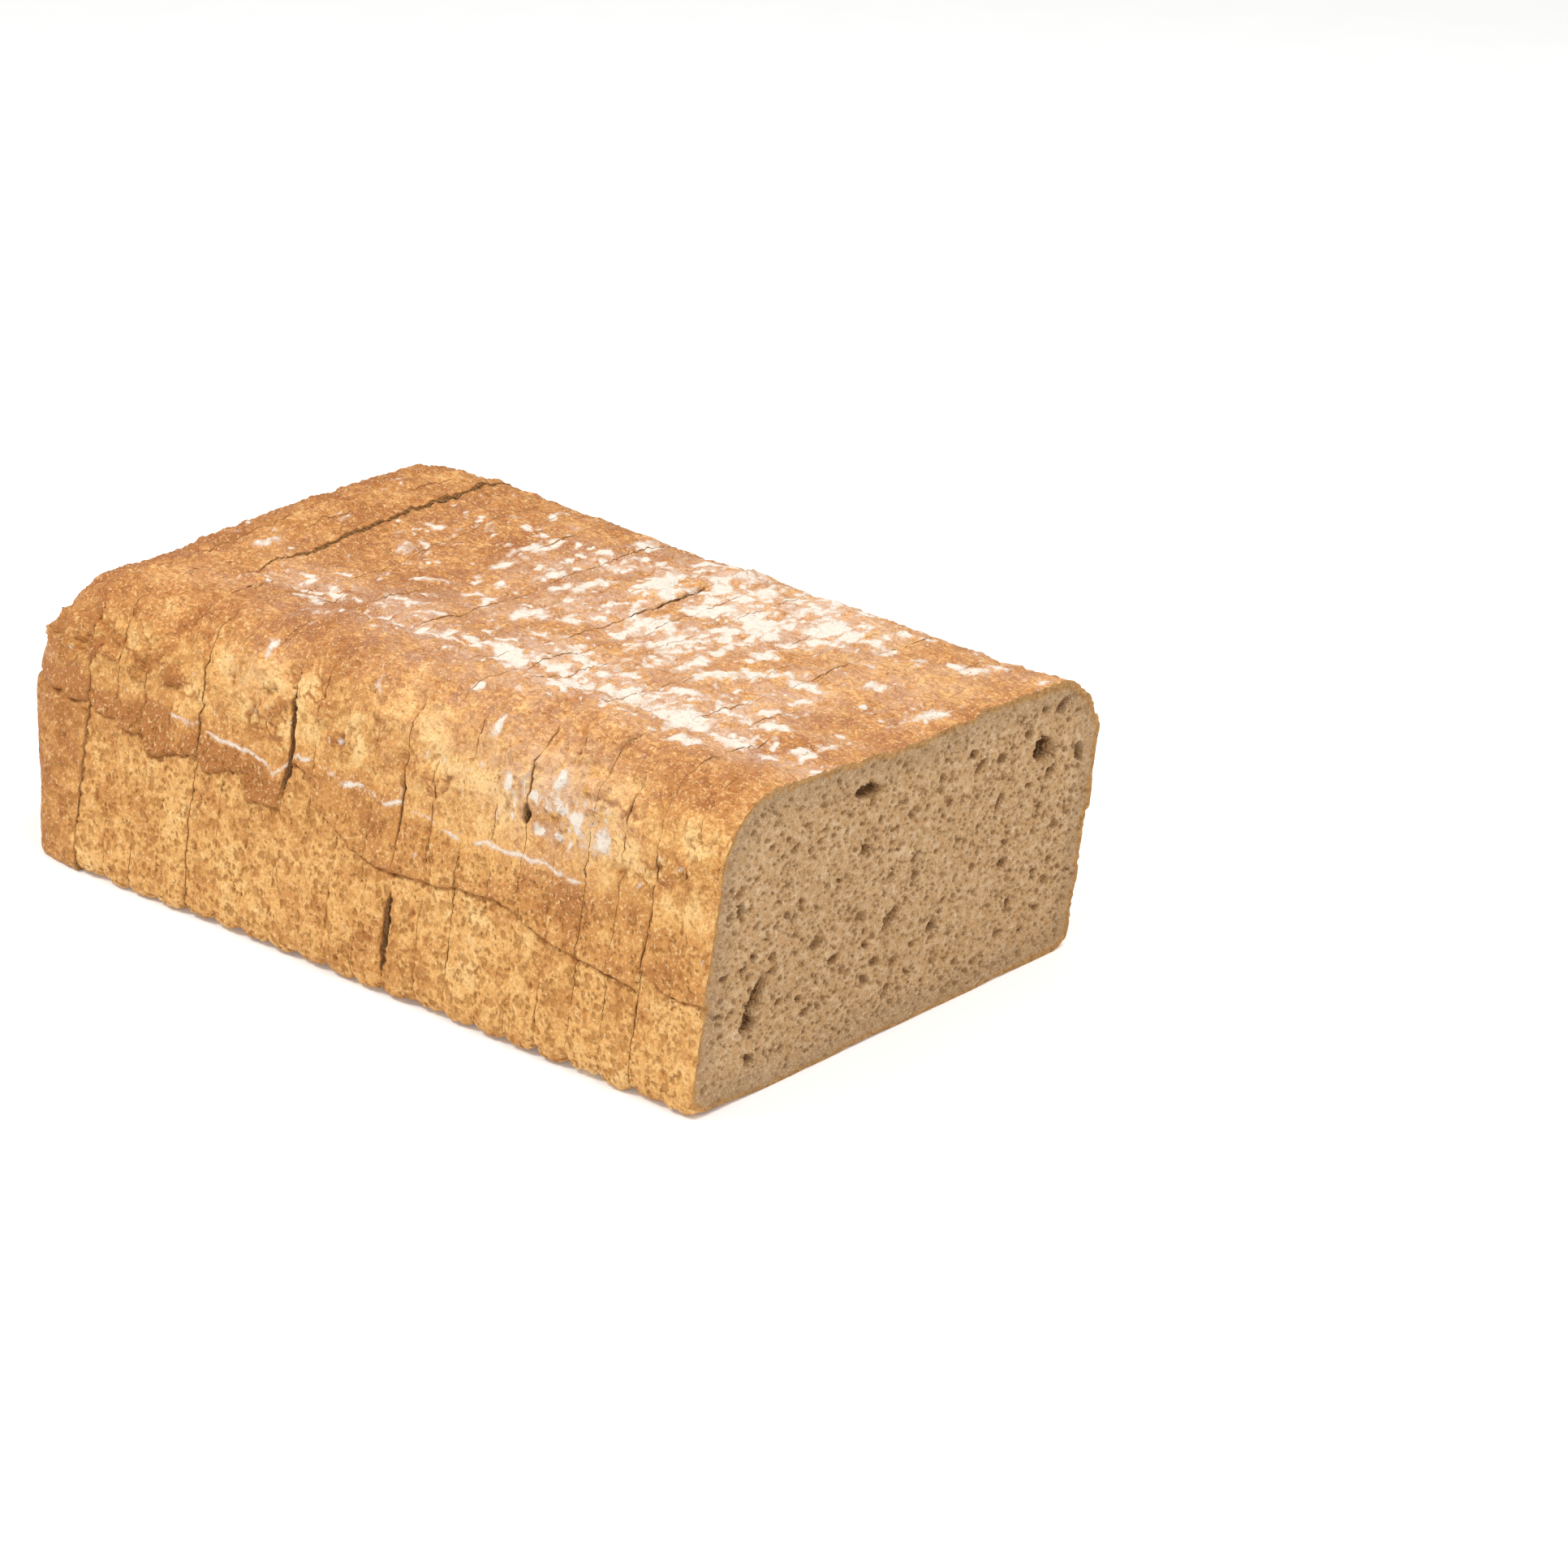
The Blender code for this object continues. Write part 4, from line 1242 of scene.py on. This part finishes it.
# ------------------------------------------------------------------- camera
def place_camera():
    f_px, az, el, roll, dist = 6000.0, 42.0885, 22.0073, 0.0893, 1.3964
    target = np.array([0.0731, 0.0283, 0.0444])
    a, e, r = (math.radians(t) for t in (az, el, roll))
    back = np.array([math.sin(a) * math.cos(e), -math.cos(a) * math.cos(e),
                     math.sin(e)])
    right = np.array([math.cos(a), math.sin(a), 0.0])
    up = np.cross(back, right)
    rr = math.cos(r) * right + math.sin(r) * up
    uu = -math.sin(r) * right + math.cos(r) * up
    from mathutils import Matrix
    m = Matrix.Identity(4)
    for i in range(3):
        m[i][0], m[i][1], m[i][2] = rr[i], uu[i], back[i]
        m[i][3] = float(target[i] + back[i] * dist)
    data = bpy.data.cameras.new("camera")
    data.sensor_width = 36.0
    data.lens = 36.0 * f_px / 1932.0
    data.clip_start, data.clip_end = 0.05, 50.0
    data.dof.use_dof = False
    cam = bpy.data.objects.new("camera", data)
    cam.matrix_world = m
    bpy.context.scene.collection.objects.link(cam)
    bpy.context.scene.camera = cam


def area(name, place, look, size, power, colour=(1, 1, 1), size_y=None):
    data = bpy.data.lights.new(name, "AREA")
    data.shape = "RECTANGLE" if size_y else "SQUARE"
    data.size = size
    if size_y:
        data.size_y = size_y
    data.energy = power
    data.color = colour
    obj = bpy.data.objects.new(name, data)
    obj.location = place
    d = Vector(look) - Vector(place)
    obj.rotation_euler = d.to_track_quat("-Z", "Y").to_euler()
    bpy.context.scene.collection.objects.link(obj)
    return obj


def studio():
    me = bpy.data.meshes.new("floor")
    s = 12.0
    me.from_pydata([(-s, -s, 0), (s, -s, 0), (s, s, 0), (-s, s, 0)], [],
                   [(0, 1, 2, 3)])
    floor = bpy.data.objects.new("floor", me)
    floor.data.materials.append(floor_material())
    bpy.context.scene.collection.objects.link(floor)
    world = bpy.data.worlds.new("studio")
    world.use_nodes = True
    bg = world.node_tree.nodes["Background"]
    bg.inputs["Color"].default_value = (1.0, 1.0, 1.0, 1.0)
    bg.inputs["Strength"].default_value = 0.60
    bpy.context.scene.world = world
    area("key", (-0.60, -0.75, 1.3), (0.0, 0.0, 0.04), 0.36, 13.8,
         (1.0, 0.985, 0.96))
    area("top", (0.45, 0.30, 1.45), (0.05, 0.0, 0.05), 0.7, 11.0)
    area("fill", (1.0, -0.35, 1.1), (0.1, 0.0, 0.04), 0.5, 2.7,
         (1.0, 0.97, 0.93))
    bpy.context.scene.view_settings.view_transform = "Standard"


def main():
    place_camera()
    studio()
    crust_m, crumb_m = crust_material(), crumb_material()
    heel = build_heel([crust_m, crumb_m])
    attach(heel, "root")
    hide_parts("heel")
    for n in range(1, COUNT + 1):
        obj = build_slice(n, [crust_m, crumb_m])
        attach(obj, "root")
        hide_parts("slice_%02d" % n)


main()
